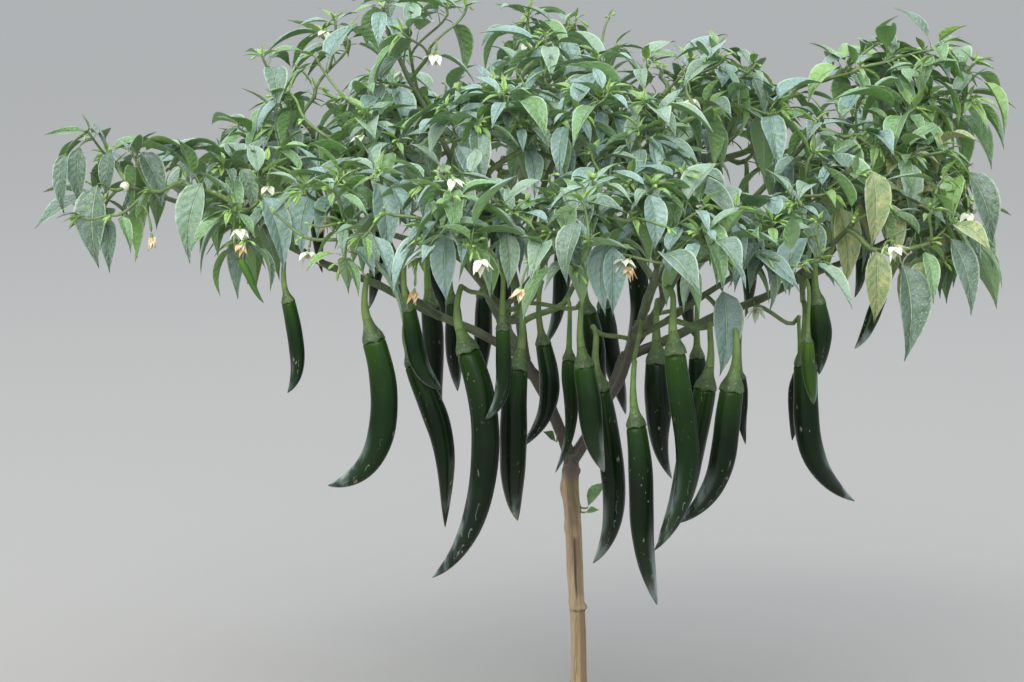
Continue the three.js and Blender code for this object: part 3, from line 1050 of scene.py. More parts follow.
def leaf_on(place, way, age, scale=1.0):
    """One leaf that leaves the wood at a place, first pointing along way."""
    heading, climb = heading_and_climb(way)
    length = (5.5 + 34 * age) * scale * seeded.uniform(0.84, 1.16)
    return Leaf(
        place=place,
        heading=heading + seeded.normal() * 0.15,
        climb=max(climb, math.radians(-15)) + math.radians(14),
        droop=math.radians(seeded.uniform(20, 60) + 55 * min(age, 1)),
        length=length,
        width=length * (seeded.uniform(0.20, 0.28) + 0.14 * min(age, 1)),
        fold=seeded.uniform(0.25, 0.8),
        roll=seeded.normal() * 0.3,
        curl=seeded.normal() * 0.4,
        stalk=length * (0.15 + 0.14 * age),
        tone=tone_for(age, place),
    )


print("numbers kept for a leaf:", len(Leaf._fields))

# %% [markdown]
# A shoot's tip carries a whorl, turned leaf by leaf through the golden angle, which lets every leaf see the
# sky. Single leaves sit lower on the twig.

# %% Whorls and single leaves
GOLDEN_ANGLE = math.radians(137.5)
WHORL = (10, 15)
WHORL_DEPTH = 9 * MM
MOST_SIDE_LEAVES = 4
BARE_TIP = 14 * MM
BARE_ROOT = 8 * MM
LEAF_GAPS = (12, 19)


def across_axis(axis, turn):
    side = unit(np.cross(axis, np.array([0.35, 0.2, 0.9])))
    return side * math.cos(turn) + np.cross(axis, side) * math.sin(turn)


def spread_from(axis, spread, turn):
    """A way that leans off an axis by one angle, towards the side given by another."""
    return unit(axis * math.cos(spread) + across_axis(axis, turn) * math.sin(spread))


def star_leaves(twig):
    """The whorl at a shoot's tip: small upright leaves in the middle and larger hanging ones round it."""
    axis = unit(twig.line[-1] - twig.line[-3])
    turn = seeded.uniform(0, TURN)
    count = seeded.integers(*WHORL)
    vigour = seeded.uniform(0.86, 1.12)
    leaves = []
    for number in range(count):
        age = ((number + 0.6) / count) ** 1.25
        spread = math.radians(30 + 68 * age + seeded.normal() * 9)
        way = spread_from(axis, spread, turn + GOLDEN_ANGLE * number)
        leaves.append(leaf_on(twig.line[-1] - axis * WHORL_DEPTH * age, way, age, vigour))
    return leaves


def side_leaves(twig):
    """Full-grown leaves, one by one along the outer part of a twig, larger on the low ones."""
    length = line_length(twig.line)
    leaves = []
    travelled = length - BARE_TIP
    turn = seeded.uniform(0, TURN)
    while travelled > BARE_ROOT and len(leaves) < MOST_SIDE_LEAVES:
        place = point_at(twig.line, travelled / length)
        axis = unit(point_at(twig.line, min(1, travelled / length + 0.06)) - place)
        way = unit(across_axis(axis, turn) + axis * 0.5 + outward(place) * 0.5)
        oldest = 1.0 + 0.28 * ease(-place[2], -0.36, -0.30)
        leaves.append(leaf_on(place, way, seeded.uniform(0.8, oldest)))
        turn += GOLDEN_ANGLE
        travelled -= seeded.uniform(*LEAF_GAPS) * MM
    return leaves


def list_leaves():
    leaves = []
    for twig in wood.twigs:
        if twig.kind == "tip":
            leaves += star_leaves(twig)
            leaves += side_leaves(twig)
        elif seeded.random() < 0.5:
            leaves += side_leaves(twig)[:1]
    return leaves


print("shoots that carry a whorl:", sum(twig.kind == "tip" for twig in wood.twigs))

# %% [markdown]
# The leaves that stand out in the view are placed one by one. Each runs between two pixels, hangs from wood
# close to them in the view and turns its upper side to the camera. Slim is its width over its length.

# %% Leaves that stand out
SeenLeaf = namedtuple("SeenLeaf", "u v tip_u tip_v slim tone")
SEEN_LEAVES = [SeenLeaf(*row) for row in (
    (66, 152, 53, 212, 0.26, "shade"), (84, 131, 46, 130, 0.20, "mid"), (80, 146, 72, 204, 0.34, "shade"),
    (98, 184, 82, 264, 0.42, "shade"), (112, 150, 100, 196, 0.36, "shade"),
    (140, 152, 173, 200, 0.38, "shade"), (203, 182, 172, 256, 0.36, "grey_green"),
    (240, 168, 262, 206, 0.38, "grey_green"), (315, 186, 288, 250, 0.40, "sky"),
    (262, 196, 298, 262, 0.38, "blue"), (376, 182, 400, 252, 0.36, "blue"),
    (446, 234, 442, 300, 0.40, "sky"), (505, 232, 516, 286, 0.36, "grey_green"),
    (606, 240, 594, 312, 0.36, "sky"), (613, 246, 614, 314, 0.34, "blue"),
    (648, 194, 664, 246, 0.44, "sky"), (722, 290, 735, 373, 0.38, "blue"),
    (752, 252, 806, 278, 0.34, "blue"), (872, 170, 884, 244, 0.40, "bronze"),
    (838, 206, 862, 282, 0.34, "bronze"), (876, 250, 880, 322, 0.36, "bronze"),
    (902, 264, 926, 356, 0.38, "shade"), (950, 238, 988, 306, 0.34, "shade"),
    (968, 172, 1008, 236, 0.38, "shade"), (588, 507, 603, 480, 0.56, "mid"),
    (586, 512, 598, 508, 0.40, "fresh"), (556, 442, 545, 430, 0.50, "mid"),
)]
FRONT_GAIN = 0.15
BASE_AHEAD = 4
TIP_AHEAD = 12
HANGING_BEND = 70
RISING_BEND = 35
wood_points = np.vstack([wood.points, lines["stem"]])
wood_pixels = pixels_of(wood_points)


def holder_near(u, v):
    """The point of wood that best carries what is seen at a pixel: close in the view, and well in front."""
    away = np.hypot(wood_pixels[:, 0] - u, wood_pixels[:, 1] - v)
    return wood_points[(away + wood_points[:, 1] / MM * FRONT_GAIN).argmin()]


def roll_to_view(base, heading, climb):
    """How far a blade rolls about its midrib to turn its upper side towards the camera."""
    ahead = np.array([math.cos(heading), math.sin(heading), 0])
    tangent = ahead * math.cos(climb) + UP * math.sin(climb)
    upper = UP * math.cos(climb) - ahead * math.sin(climb)
    view = unit(CAMERA_PLACE - base)
    return np.clip(math.atan2(-np.cross(upper, tangent) @ view, upper @ view), -1.5, 1.5)


def seen_leaf(row):
    """A leaf whose blade runs between two pixels, and the point of wood that holds its stalk."""
    holder = holder_near(row.u, row.v)
    base = seen_at(row.u, row.v, holder[1] / MM - BASE_AHEAD)
    tip = seen_at(row.tip_u, row.tip_v, holder[1] / MM - TIP_AHEAD)
    heading, climb = heading_and_climb(unit(tip - base))
    bend = math.radians(HANGING_BEND if climb < 0 else RISING_BEND)
    length = np.linalg.norm(tip - base) / MM * 1.06
    roll = seeded.uniform(-0.3, 0.3) + roll_to_view(base, heading, climb)
    fold = seeded.uniform(0.3, 0.6)
    shape = (climb + bend / 2, bend, length, length * row.slim, fold, roll, 0.0, 0.5, row.tone)
    return Leaf(base, heading, *shape), holder


seen_leaves = [seen_leaf(row) for row in SEEN_LEAVES]
leaves = list_leaves()
print("leaves:", len(leaves), "and", len(seen_leaves), "that stand out")

# %% [markdown]
# A blade starts where its stalk ends and bends down and sideways along its length. All paths are worked out
# at once, as arrays with one row for each leaf.

# %% Paths of stalks and blades
STALK_DROOP = 0.4
STALK_STATIONS = 4


def leaf_columns(chosen):
    """The leaves as one Leaf that holds arrays, with lengths in metres."""
    table = Leaf(*map(np.array, zip(*chosen)))
    return table._replace(length=table.length * MM, width=table.width * MM, stalk=table.stalk * MM)


def bent_paths(heading, curl, start, climb, length, droop, stations):
    """Lines that start at a place and bend down and sideways: points, upper sides and sideways."""
    share = np.linspace(0, 1, stations + 1)[None]
    lift = climb[:, None] - droop[:, None] * share**0.9
    heading = heading[:, None] + curl[:, None] * share
    ahead = np.stack([np.cos(heading), np.sin(heading), np.zeros(heading.shape)], -1)
    rise, run = np.sin(lift)[..., None], np.cos(lift)[..., None]
    tangent, upper = ahead * run + UP * rise, UP * run - ahead * rise
    steps = (tangent[:, :-1] + tangent[:, 1:]) / 2 * (length / stations)[:, None, None]
    points = start[:, None] + np.concatenate([np.zeros((len(start), 1, 3)), np.cumsum(steps, axis=1)], axis=1)
    return points, upper, np.cross(upper, tangent)


def stalk_points(table):
    droop = table.droop * STALK_DROOP
    start = (table.heading, table.curl * 0, table.place, table.climb)
    return bent_paths(*start, table.stalk, droop, STALK_STATIONS)[0]


def blade_paths(table, stations):
    """The middle lines of the blades, which go on from their stalks."""
    climb = table.climb - table.droop * STALK_DROOP
    droop = table.droop * (1 - STALK_DROOP)
    start = stalk_points(table)[:, -1]
    return bent_paths(table.heading, table.curl, start, climb, table.length, droop, stations)


print("longest leaf that stands out, in mm:", round(max(leaf.length for leaf, _ in seen_leaves), 1))

# %% [markdown]
# The template becomes a thin lens that is folded at the midrib, rolled about it and waved at its margin.
# Margin and midrib are kept as sharp edges.

# %% The blade
BLADE_TEMPLATE = tube_template(8, 9)
SMALL_BLADE_TEMPLATE = tube_template(8, 6)
BLADE_THICKNESS = 0.22 * MM
MIDRIB_DEPTH = 0.25 * MM
WIDEST = 0.319
HALF_BLADE = 0.235


def blade_width(share):
    """The outline's half width, 1 at its widest: an egg-shaped blade drawn out to a long point."""
    outline = share**0.75 * np.clip(1 - share, 0, 1) ** 1.6
    return outline / (WIDEST**0.75 * (1 - WIDEST) ** 1.6)


def blade_places(table, template):
    """Vertices of the blades of a table of leaves."""
    points, upper, side = blade_paths(table, template.stations)
    share = np.linspace(0, 1, template.stations + 1)
    turn = (table.roll[:, None] * (0.4 + 0.6 * share))[..., None]
    side, upper = side * np.cos(turn) + upper * np.sin(turn), upper * np.cos(turn) - side * np.sin(turn)
    k, column, height = template.station, np.cos(template.angle), np.sin(template.angle)
    half = table.width[:, None] / 2 * blade_width(share[k])
    wave = 0.09 * np.sin(7 * share[k] + 40 * table.roll[:, None]) * column
    lift = half * (table.fold[:, None] * np.abs(column) + wave)
    thick = height * BLADE_THICKNESS - MIDRIB_DEPTH * hump(column, 0, 0.2) * (height > 0)
    return points[:, k] + side[:, k] * (column * half)[..., None] + upper[:, k] * (lift + thick)[..., None]


def blade_finish(template):
    """UV and creases: the upper side fills the square's lower half, and margin and midrib are sharp."""
    station = template.station[template.corners]
    column = np.where(template.ends[template.corners], 0, np.cos(template.around))
    v = np.where(template.side > math.pi, 0.75, 0.25) + HALF_BLADE * column
    quarter = template.angle / (TURN / 4)
    creased = template.ends | (np.abs(quarter - np.rint(quarter)) < 0.01)
    return np.stack([0.01 + 0.98 * station / template.stations, v], axis=-1), creased


print("vertices in a blade:", len(BLADE_TEMPLATE.station), "or", len(SMALL_BLADE_TEMPLATE.station))


# %% [markdown]
# Some leaves would hide what stands out in the view, or close a gap through which the ground is seen. A leaf
# is left out if its middle line passes in front of such a place, which is a small share of all leaves.

# %% Leaves left out
# Gaps in the crown: pixel and radius in pixels
GAPS = [
    (498, 166, 13), (448, 154, 10), (662, 86, 11), (646, 149, 6), (552, 176, 8), (743, 147, 9),
    (786, 140, 9), (742, 172, 6), (210, 70, 34), (330, 82, 13), (360, 60, 9), (420, 46, 13), (440, 82, 12),
    (312, 118, 10), (470, 20, 12), (600, 30, 16), (690, 30, 16), (780, 62, 20), (150, 70, 46),
    (628, 268, 9), (655, 300, 9), (556, 300, 9), (706, 275, 8), (770, 330, 12), (840, 330, 12),
    (960, 330, 16), (330, 280, 14), (575, 338, 14), (630, 370, 14), (306, 290, 12), (700, 330, 12),
    (800, 296, 9), (66, 94, 18), (204, 292, 15), (1014, 74, 16), (60, 246, 12), (432, 300, 12),
    (820, 26, 16), (762, 36, 10), (133, 276, 10),
]
BEHIND_ALL = 9.0
IN_FRONT = -50
POD_CLEARING, FLOWER_CLEARING, LEAF_CLEARING = 9, 10, 12


def clear_views():
    """Pixel, radius in pixels and depth of every place that leaves may not hide."""
    views = [(u, v, radius, BEHIND_ALL) for u, v, radius in GAPS]
    for pod in PODS:
        if pod.behind < IN_FRONT:
            views += [(pod.u, pod.v - rise, POD_CLEARING, pod.behind * MM) for rise in (2, 20)]
    for flower in FLOWERS:
        views.append((flower.u, flower.v, FLOWER_CLEARING, holder_near(flower.u, flower.v)[1]))
    for leaf, (_, holder) in zip(SEEN_LEAVES, seen_leaves):
        for share in (0.25, 0.5, 0.8):
            u = leaf.u + (leaf.tip_u - leaf.u) * share
            v = leaf.v + (leaf.tip_v - leaf.v) * share
            views.append((u, v, LEAF_CLEARING, holder[1] - 5 * MM))
    return views


def kept_leaves(all_leaves):
    middle = blade_paths(leaf_columns(all_leaves), 6)[0]
    pixels = pixels_of(middle)
    keep = np.ones(len(all_leaves), bool)
    for u, v, radius, depth in clear_views():
        hides = np.hypot(pixels[..., 0] - u, pixels[..., 1] - v) < radius
        keep &= ~(hides & (middle[..., 1] < depth)).any(axis=1)
    return [leaf for leaf, kept in zip(all_leaves, keep) if kept]


grown = len(leaves)
leaves = kept_leaves(leaves)
print("leaves left out:", grown - len(leaves))
leaves += [leaf for leaf, _ in seen_leaves]

# %% [markdown]
# The leaf's finish is drawn in the leaf's own square: a pale midrib, side veins that slant to the tip, a
# thin pale yellow-green margin that is partly a painted highlight where the edge catches the light, a lighter
# underside, and pale bluish patches that are partly a painted reflection of the sky and partly grey mottling.
# As the pattern is the same for every leaf, one small picture of it holds all of them sharply. What differs
# from leaf to leaf is the plain base colour, dealt out leaf by leaf.

# %% Leaf finish
# Colours of the upper side and the underside
TONE_COLOURS = {
    "shade": ((0.098, 0.168, 0.116), (0.130, 0.250, 0.078)),
    "blue": ((0.184, 0.292, 0.280), (0.204, 0.364, 0.146)),
    "grey_green": ((0.212, 0.314, 0.222), (0.206, 0.362, 0.128)),
    "mid": ((0.134, 0.266, 0.084), (0.160, 0.316, 0.080)),
    "fresh": ((0.222, 0.385, 0.085), (0.236, 0.400, 0.095)),
    "bright": ((0.330, 0.530, 0.075), (0.350, 0.540, 0.090)),
    "sky": ((0.226, 0.352, 0.340), (0.228, 0.384, 0.172)),
    "bronze": ((0.205, 0.285, 0.130), (0.300, 0.330, 0.140)),
}
DEEPENED = (0.80, 0.87, 0.72)
# Bluish grey added to the upper colour in patches: partly a painted reflection of the sky, partly grey
# mottling
SHEEN_AND_DUST = (0.078, 0.084, 0.096)
BRONZE_DUST = (0.190, 0.130, 0.045)
RIB_COLOUR = (0.44, 0.54, 0.34)
MARGIN_COLOUR = (0.48, 0.58, 0.40)


def leaf_material(tone):
    upper, under = TONE_COLOURS[tone]
    deep = tuple(value * share for value, share in zip(upper, DEEPENED))
    sheen_and_dust_tint = BRONZE_DUST if tone == "bronze" else SHEEN_AND_DUST
    sheen_and_dust_colour = tuple(value * 0.88 + grain for value, grain in zip(upper, sheen_and_dust_tint))
    recipe = finish("leaf_" + tone, Roughness=0.38, Specular_IOR_Level=0.6)
    square = recipe.square()
    along, across, _ = recipe.axes(square)
    below = across.step(0.499, 0.501)
    column = (across - 0.25 - below * 0.5).maths("ABSOLUTE").maths("DIVIDE", HALF_BLADE)
    sheen_and_dust_patches = recipe.noise(3.0 + 0.3 * TONES.index(tone), 2, (1, 0.9, 1), square)
    mottle = recipe.noise(11, 4, (1, 0.8, 1), square)
    fleck = recipe.noise(42, 2, (1, 0.8, 1), square)
    midrib = column.step(0.085, 0.02)
    ripple = ((along * 9 - column * 1.5).maths("FRACT") - 0.5).maths("ABSOLUTE")
    vein = ripple.step(0.07, 0.0) * column.step(1.0, 0.5)
    recipe.paint(Base_Color=recipe.coats(
        deep,
        # Pale bluish patches: partly a painted reflection of the sky, partly grey mottling of the leaf
        (sheen_and_dust_patches.step(0.36, 0.64) * 0.6 + mottle.step(0.35, 0.68) * 0.4, sheen_and_dust_colour),
        (fleck.step(0.56, 0.66) * 0.38, MARGIN_COLOUR),
        (below, under),
        (midrib * 0.7 + vein * 0.13, RIB_COLOUR),
        # Pale margin, partly a painted highlight where the edge catches the light
        (column.step(0.86, 0.96) * 0.6, MARGIN_COLOUR),
    ))
    recipe.bump(ripple * 0.5 - midrib * 0.8 + mottle * 1.6, 0.0009, 0.9)
    return recipe.owner


print("leaf finishes:", len(TONE_COLOURS))

# %% [markdown]
# Leaves of one tone make one piece, small ones with a coarser blade. The leaves that stand out get longer
# stalks of their own, which reach back to the wood.

# %% All leaves
STALK_TEMPLATE = tube_template(5, STALK_STATIONS)
STALK_RADII = np.array([0.55, 0.5, 0.42, 0.42, 0.3]) * MM
SMALL_LEAF = 26


def add_stalk(heap, start, end, arrive, lift, radii):
    """A thin stalk from one place to another that rises first and arrives along a way."""
    gap = np.linalg.norm(end - start)
    first, second = start + unit(end - start + UP * lift * gap) * gap * 0.4, end - arrive * gap * 0.35
    path = cubic_line(start, first, second, end, TWIG_TEMPLATE.stations + 1)
    radius = resample(radii, len(path)) * MM
    radius[[0, -1]] = 0
    heap.add_tubes(TWIG_TEMPLATE, path[None], radius[None])


def make_leaves():
    stalks = Heap()
    for leaf, holder in seen_leaves:
        way = np.array([math.cos(leaf.climb) * math.cos(leaf.heading), 0, math.sin(leaf.climb)])
        add_stalk(stalks, holder, leaf.place + way * 0.6 * MM, way, 0.4, (0.7, 0.6, 0.5))
    for tone in TONES:
        heap = Heap()
        for template, small in ((BLADE_TEMPLATE, False), (SMALL_BLADE_TEMPLATE, True)):
            group = [leaf for leaf in leaves if leaf.tone == tone and (leaf.length < SMALL_LEAF) == small]
            if group:
                table = leaf_columns(group)
                heap.add(template, blade_places(table, template), *blade_finish(template))
                sizes = np.clip(table.length / (45 * MM), 0.5, 1.15)
                stalks.add_tubes(STALK_TEMPLATE, stalk_points(table), STALK_RADII * sizes[:, None])
        heap.piece("leaves_" + tone, leaf_material(tone), "foliage", MASSES if tone == "blue" else ())
    stalks.piece("leaf_stalks", shoot_material, "foliage")


make_leaves()

# %% [markdown]
# ## Pods
# A pod is a long cone with a broad shoulder and a blunt or drawn-out tip, slightly flattened and dented
# along its length, and it curves as it hangs.

# %% The pod
POD_TEMPLATE = tube_template(28, 46)


def hanging_line(start, pod, turn, share):
    """A pod's middle line, which leans by lean_top at its shoulder and by lean_tip at its tip."""
    lean = pod.lean_top + (pod.lean_tip - pod.lean_top) * share**2 + pod.bow * np.cos(math.pi * share)
    lean = np.radians(lean + 4 * np.sin(7 * share + pod.lean_tip))
    way = np.stack([np.sin(lean) * math.cos(turn), np.sin(lean) * math.sin(turn), -np.cos(lean)], -1)
    steps = (way[:-1] + way[1:]) / 2 * (np.diff(share) * pod.length * MM)[:, None]
    return start + np.vstack([np.zeros(3), np.cumsum(steps, axis=0)])


def pod_girth(share, fullness, narrowing, bluntness):
    """The pod's radius along its length, 1 at its widest, narrowing from a share of its length to its tip."""
    shoulder = (1 - (1 - np.clip(share / 0.03, 0, 1)) ** 2) ** 0.5
    belly = fullness + (1 - fullness) * np.sin(np.clip(share / (narrowing + 0.05), 0, 1) * math.pi * 0.5)
    taper = (1 - np.clip((share - narrowing) / (1 - narrowing), 0, 1) ** bluntness) ** 0.82
    return shoulder * belly * taper


def pod_places(start, pod, fullness, turn):
    even = np.linspace(0, 1, POD_TEMPLATE.stations + 1)
    share = 0.55 * (np.sin((even - 0.5) * math.pi) * 0.5 + 0.5) + 0.45 * even
    line = hanging_line(start, pod, turn, share)
    girth = pod_girth(share, fullness, seeded.uniform(0.14, 0.42), seeded.uniform(1.3, 3.0))
    phase = seeded.uniform(0, 6, 4)
    k, angle = POD_TEMPLATE.station, POD_TEMPLATE.angle
    dents = (0.045 * np.cos(2 * angle + phase[0]) + 0.03 * np.cos(3 * angle + phase[1] + 2 * share[k])
             + 0.018 * np.sin(11 * share[k] + phase[2]) * np.cos(angle + phase[3])
             + 0.012 * np.sin(23 * share[k] + phase[1]) * np.cos(2 * angle + phase[2]))
    return round_paths(POD_TEMPLATE, line[None], girth[k] * pod.thick / 2 * MM * (1 + dents)), line


print("vertices in a pod:", len(POD_TEMPLATE.station))

# %% [markdown]
# A grey-green cup sits on the pod's shoulder, and a ribbed stalk, thick at the cup, arches up from it to the
# fork.

# %% Cup and stalk
POD_STALK_TEMPLATE = tube_template(12, 18)
CUP_TEMPLATE = tube_template(20, 10)
# The cup's outline from top to rim: how far down on a pod of this thickness, and its share of the pod's girth
CUP_SIZE = 15
CUP_DEPTHS = np.array([-10, -10, -7.8, -5.8, -4.2, -2.8, -1.5, -0.2, 1.2, 1.3, 0.6]) / CUP_SIZE
CUP_REACHES = np.array([0, 0.30, 0.34, 0.41, 0.50, 0.60, 0.68, 0.73, 0.755, 0.72, 0])


def cup_places(line, thick):
    """The cup: a shallow bell over the pod's shoulder, drawn in at the top where the stalk enters."""
    k, angle = CUP_TEMPLATE.station, CUP_TEMPLATE.angle
    share = k / CUP_TEMPLATE.stations
    frames = [axis[:, [0] * len(CUP_DEPTHS)] for axis in frames_along(line[None, :3])]
    way = frames[0][0, 0]
    path = line[0] + way * CUP_DEPTHS[:, None] * thick * MM
    lobes = 1 + 0.03 * np.cos(5 * angle) * ease(share, 0.1, 0.6) + 0.015 * np.cos(9 * angle + share * 3)
    rim = 0.5 * np.cos(5 * angle) * ease(share, 0.6, 0.8) * thick / CUP_SIZE
    places = round_paths(CUP_TEMPLATE, path[None], CUP_REACHES[k] * lobes * thick / 2 * MM, frames)
    return places + way * rim[:, None] * MM


def stalk_places(fork, line, thick):
    """The stalk: out of the fork, over, and down into the cup, thickening all the way."""
    down = unit(line[1] - line[0])
    top = line[0] - down * 9.0 * MM * thick / CUP_SIZE
    gap = np.linalg.norm(top - fork)
    rise = unit(unit(top - fork) * np.array([1, 1, 0.2]) + UP * 0.15)
    template = POD_STALK_TEMPLATE
    count = template.stations - 1
    path = cubic_line(fork, fork + rise * gap * 0.35, top - down * gap * 0.45, top, count, 40)
    path = np.vstack([path[0] - (path[1] - path[0]) * 0.05, path, path[-1] + down * 0.2 * MM])
    radii = [0.05 * thick + 0.8, 0.05 * thick + 0.7, 0.07 * thick + 0.6, 0.135 * thick + 0.3]
    radius = np.interp(np.linspace(0, 1, count), [0, 0.1, 0.55, 1], radii) * MM
    ribbed = np.array([0, *radius, 0])[template.station] * (1 + 0.05 * np.cos(5 * template.angle))
    return round_paths(template, path[None], ribbed)


print("vertices in a cup:", len(CUP_TEMPLATE.station), "and in a stalk:", len(POD_STALK_TEMPLATE.station))


# %% [markdown]
# Unripe pods are very dark green and glossy, brighter at the shoulder, with a painted sky highlight in pale
# streaks on the inner side of the bend, which faces up, and at the tip, and a few pale corky flecks.
# Dark and deep are full pods, in the light and in the crown's shade, green ones are nearly full, and bright
# and young ones are small.

# %% Pod finish
# Colours of the body and the shoulder
POD_TONES = {
    "dark": ((0.0034, 0.0108, 0.0036), (0.0170, 0.0500, 0.0070)),
    "deep": ((0.0050, 0.0120, 0.0058), (0.0110, 0.0300, 0.0075)),
    "green": ((0.0058, 0.0200, 0.0045), (0.0250, 0.0760, 0.0075)),
    "bright": ((0.0260, 0.0640, 0.0080), (0.0640, 0.1300, 0.0100)),
    "young": ((0.0600, 0.1450, 0.0280), (0.1100, 0.2300, 0.0450)),
}
# Where round the pod, as a share of its U, the painted sky highlight lies: the inner side of the bend
INNER_SIDE = 0.30


def pod_material(tone):
    body, shoulder = POD_TONES[tone]
    recipe = finish("pod_" + tone, Specular_IOR_Level=0.11, Coat_Roughness=0.10)
    around, along, _ = recipe.axes(recipe.square())
    patch = recipe.noise(55, 2)
    fleck = recipe.noise(480, 3, (1, 1, 0.45))
    scar = recipe.noise(170, 3, (1, 1, 0.35))
    region = recipe.noise(38, 1)
    streak = recipe.noise(150, 3, (1, 1, 0.22))
    # Painted sky highlight: pale streaks on the inner side of the bend and towards the tip, where a glossy
    # pod reflects the sky
    inner = around.near(INNER_SIDE, 0.20, 0.07) * along.step(0.48, 0.78)
    painted_sky_highlight = (inner + along.step(0.74, 0.92) * 0.7) * streak.step(0.40, 0.58)
    corky = fleck.step(0.66, 0.72) * region.step(0.48, 0.60) + scar.step(0.70, 0.75)
    recipe.paint(Base_Color=recipe.coats(
        body,
        (along.step(0.42, -0.05) + patch.step(0.45, 0.75) * 0.08, shoulder),
        # the painted sky highlight
        (painted_sky_highlight * 0.8, (0.210, 0.265, 0.240)),
        (corky * 0.6, (0.29, 0.28, 0.19)),
    ))
    recipe.paint(Roughness=0.22 + patch * 0.14 + corky * 0.4, Coat_Weight=0.15 + along.step(0.50, 0.90) * 0.6)
    folds = streak * along.step(0.05, 0.75)
    recipe.bump(recipe.noise(60, 2, (1, 1, 0.5)) + folds + corky * 0.15, 0.0024, 0.55)
    return recipe.owner


print("pod finishes:", len(POD_TONES))

# %% [markdown]
# The cups are duller and lighter than the pods, and speckled. Each pod's painted sky highlight is turned to
# the inner side of its bend, which faces up.

# %% All pods
SLIMMEST = 0.72
FULLEST = 0.90


def cup_material():
    recipe = finish("pod_cup", Roughness=0.55)
    patch = recipe.noise(140, 3)
    fleck = recipe.noise(620, 2)
    recipe.paint(Base_Color=recipe.coats(
        (0.055, 0.092, 0.032),
        (patch.step(0.35, 0.65), (0.090, 0.145, 0.055)),
        (recipe.axes(recipe.square())[1].step(0.55, 0.1) * 0.9, (0.125, 0.205, 0.050)),
        (fleck.step(0.56, 0.66) * 0.5, (0.25, 0.29, 0.17)),
    ))
    recipe.bump(fleck + patch, 0.0008, 0.6)
    return recipe.owner


def make_pods():
    heaps = {tone: Heap() for tone in POD_TONES}
    cups, stalks = Heap(), Heap()
    for pod, fork in zip(PODS, forks):
        turn, fullness = seeded.uniform(-0.35, 0.35), seeded.uniform(SLIMMEST, FULLEST)
        places, line = pod_places(seen_at(pod.u, pod.v, pod.behind), pod, fullness, turn)
        neck = pod.thick * fullness / SLIMMEST
        # U is turned half round for pods that bend towards +X, so that the painted sky highlight lies on the
        # inner side
        turned = 0.5 if pod.lean_tip > 0 else 0.0
        heaps[pod.tone].add(POD_TEMPLATE, places, wrap_uv(POD_TEMPLATE, turned))
        cups.add(CUP_TEMPLATE, cup_places(line, neck))
        stalks.add(POD_STALK_TEMPLATE, stalk_places(fork, line, neck))
    for tone, heap in heaps.items():
        heap.piece("pods_" + tone, pod_material(tone), "pod")
    cups.piece("pod_cups", cup_material(), "pod")
    stalks.piece("pod_stalks", pod_stalk_material, "pod")


pod_stalk_material = mottled_material("pod_stalk", 90, (0.12, 0.20, 0.05), (0.19, 0.29, 0.08), 0.45)
make_pods()

# %% [markdown]
# ## Blossom
# An open flower has five or six pointed white petals, a small green cup and a cone of anthers. Dried ones
# keep their petals as a brown rag. The petals are blades like the leaves, only smaller.

# %% Petals
PETAL_TEMPLATE = tube_template(8, 6)
# Ranges of the petals' spread, length and droop, how slim and curled they are, the cup's size and the piece
Petals = namedtuple("Petals", "spreads lengths droops slim curl cup piece")
PETALS = {
    "open": Petals((42, 68), (8.6, 10.6), (5, 30), 0.56, 0.15, 4.2, "petals"),
    "dried": Petals((10, 34), (7.5, 10.5), (-20, 30), 0.40, 0.7, 3.6, "dried_petals"),
    "bud": Petals((0, 0), (0, 0), (0, 0), 0, 0, 3.6, "petals"),
}


def petals_round(centre, axis, kind):
    """The petals of one flower, listed like leaves."""
    count = 6 if seeded.random() < 0.4 else 5
    turn = seeded.uniform(0, TURN)
    petals = []
    for number in range(count):
        spread = math.radians(seeded.uniform(*kind.spreads))
        way = spread_from(axis, spread, turn + TURN * number / count + seeded.normal() * 0.12)
        length = seeded.uniform(*kind.lengths)
        droop = math.radians(seeded.uniform(*kind.droops))
        curl, roll = seeded.normal() * kind.curl, seeded.normal() * 0.2
        shape = (droop, length, length * kind.slim, 0.25, roll, curl, 0.3, "")
        petals.append(Leaf(centre, *heading_and_climb(way), *shape))
    return petals


print("kinds of flower:", ", ".join(PETALS))

# %% [markdown]
# A flower hangs from its stalk by a small cup. Besides the flowers that are seen, others hang at random from
# shoots on the far side, and every shoot tip carries a few tiny green buds.

# %% All flowers and buds
STALK_PIXELS = 16
FAR_SIDE = 20 * MM
FLOWERING = 0.2
STILL_OPEN = 0.7
BUD_TEMPLATE = tube_template(6, 7)
BALL_TEMPLATE = tube_template(10, 8)
BALL_RADII = (0, 1.7, 2.7, 3.1, 3.2, 3.0, 2.4, 1.3, 0)
ANTHER_RADII = (0, 0.9, 1.1, 1.15, 1.1, 1.0, 0.6, 0)
BUD_RADII = np.array([0, 0.36, 0.34, 0.4, 0.9, 1.15, 0.9, 0]) * MM
BLOSSOM = {
    "petals": mottled_material("petal_white", 300, (0.82, 0.83, 0.70), (0.70, 0.74, 0.55), 0.55),
    "dried_petals": mottled_material("petal_brown", 300, (0.46, 0.26, 0.11), (0.74, 0.62, 0.40), 0.7),
    "anthers": mottled_material("anther", 300, (0.48, 0.46, 0.22), (0.30, 0.26, 0.30), 0.6),
    "flower_stalks": pod_stalk_material,
    "buds": mottled_material("bud_green", 300, (0.22, 0.40, 0.08), (0.33, 0.50, 0.15), 0.5),
}


def add_ball(heap, template, centre, axis, low, high, radii):
    """A round body along an axis, from low to high."""
    path = centre + axis * np.linspace(low, high, len(radii))[:, None] * MM
    heap.add_tubes(template, path[None], np.array([radii]) * MM)


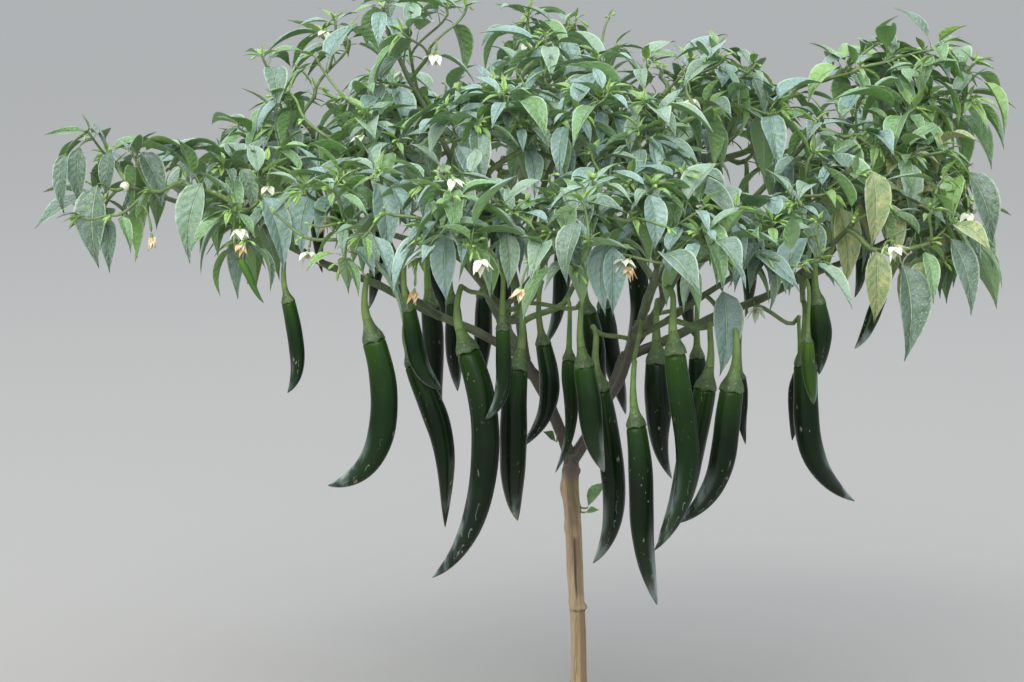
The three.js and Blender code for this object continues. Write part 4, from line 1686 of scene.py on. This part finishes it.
def add_flower(heaps, holder, centre, kind):
    petals = PETALS[kind]
    axis = unit(centre - holder) * np.array([1, 1, 0.3]) * 0.5 - UP * 0.75
    axis = unit(axis + seeded.normal(size=3) * 0.12)
    neck = centre - axis * petals.cup * 0.9 * MM
    add_stalk(heaps["flower_stalks"], holder, neck, axis, 0.8, (0.8, 0.55, 0.6, 0.95))
    line = neck + axis * (np.linspace(0, 4, 5)[:, None] + petals.cup * 0.8) * MM
    heaps["flower_stalks"].add(CUP_TEMPLATE, cup_places(line, petals.cup))
    if kind == "bud":
        add_ball(heaps["petals"], BALL_TEMPLATE, centre, axis, -3.6, 3.4, BALL_RADII)
        return
    table = leaf_columns(petals_round(centre - axis * 1.5 * MM, axis, petals))
    places = blade_places(table, PETAL_TEMPLATE)
    heaps[petals.piece].add(PETAL_TEMPLATE, places, *blade_finish(PETAL_TEMPLATE))
    add_ball(heaps["anthers"], BUD_TEMPLATE, centre, axis, -1.5, 3.0, ANTHER_RADII)


def add_buds(heap, twig):
    """One to three tiny buds on short stalks at a shoot's tip."""
    axis = unit(twig.line[-1] - twig.line[-3])
    share = np.linspace(0, 1, BUD_TEMPLATE.stations + 1)[:, None]
    for _ in range(seeded.integers(1, 4)):
        way = spread_from(axis, math.radians(seeded.uniform(15, 75)), seeded.uniform(0, 7))
        length = seeded.uniform(5, 9) * MM
        path = twig.line[-1] + way * length * share - UP * length * 0.5 * share**2
        heap.add_tubes(BUD_TEMPLATE, path[None], BUD_RADII[None] * seeded.uniform(0.6, 0.95))


def make_flowers():
    heaps = {name: Heap() for name in BLOSSOM}
    for flower in FLOWERS:
        holder = holder_near(flower.u, flower.v - STALK_PIXELS)
        add_flower(heaps, holder, seen_at(flower.u, flower.v, holder[1] / MM - 6), flower.kind)
    for twig in wood.twigs:
        if twig.kind != "tip":
            continue
        add_buds(heaps["buds"], twig)
        if seeded.random() < FLOWERING and twig.line[-1][1] > FAR_SIDE:
            holder = twig.line[-1 - seeded.integers(1, 3)]
            way = outward(holder) * np.array([1, 1, 0])
            centre = holder + way * seeded.uniform(8, 14) * MM - UP * seeded.uniform(12, 17) * MM
            add_flower(heaps, holder, centre, "open" if seeded.random() < STILL_OPEN else "dried")
    for name, heap in heaps.items():
        heap.piece(name, BLOSSOM[name], "blossom")


make_flowers()

# %% [markdown]
# ## Check and finish
# The box of all that shows is written beside the frame's own box, so that the two can be compared.

# %% Sizes and finish
low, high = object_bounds()
past_low = [round((a - b) / MM, 1) for a, b in zip(cad_low, low)]
past_high = [round((a - b) / MM, 1) for a, b in zip(high, cad_high)]
print("visual box past the frame's, in mm:", past_low, past_high)
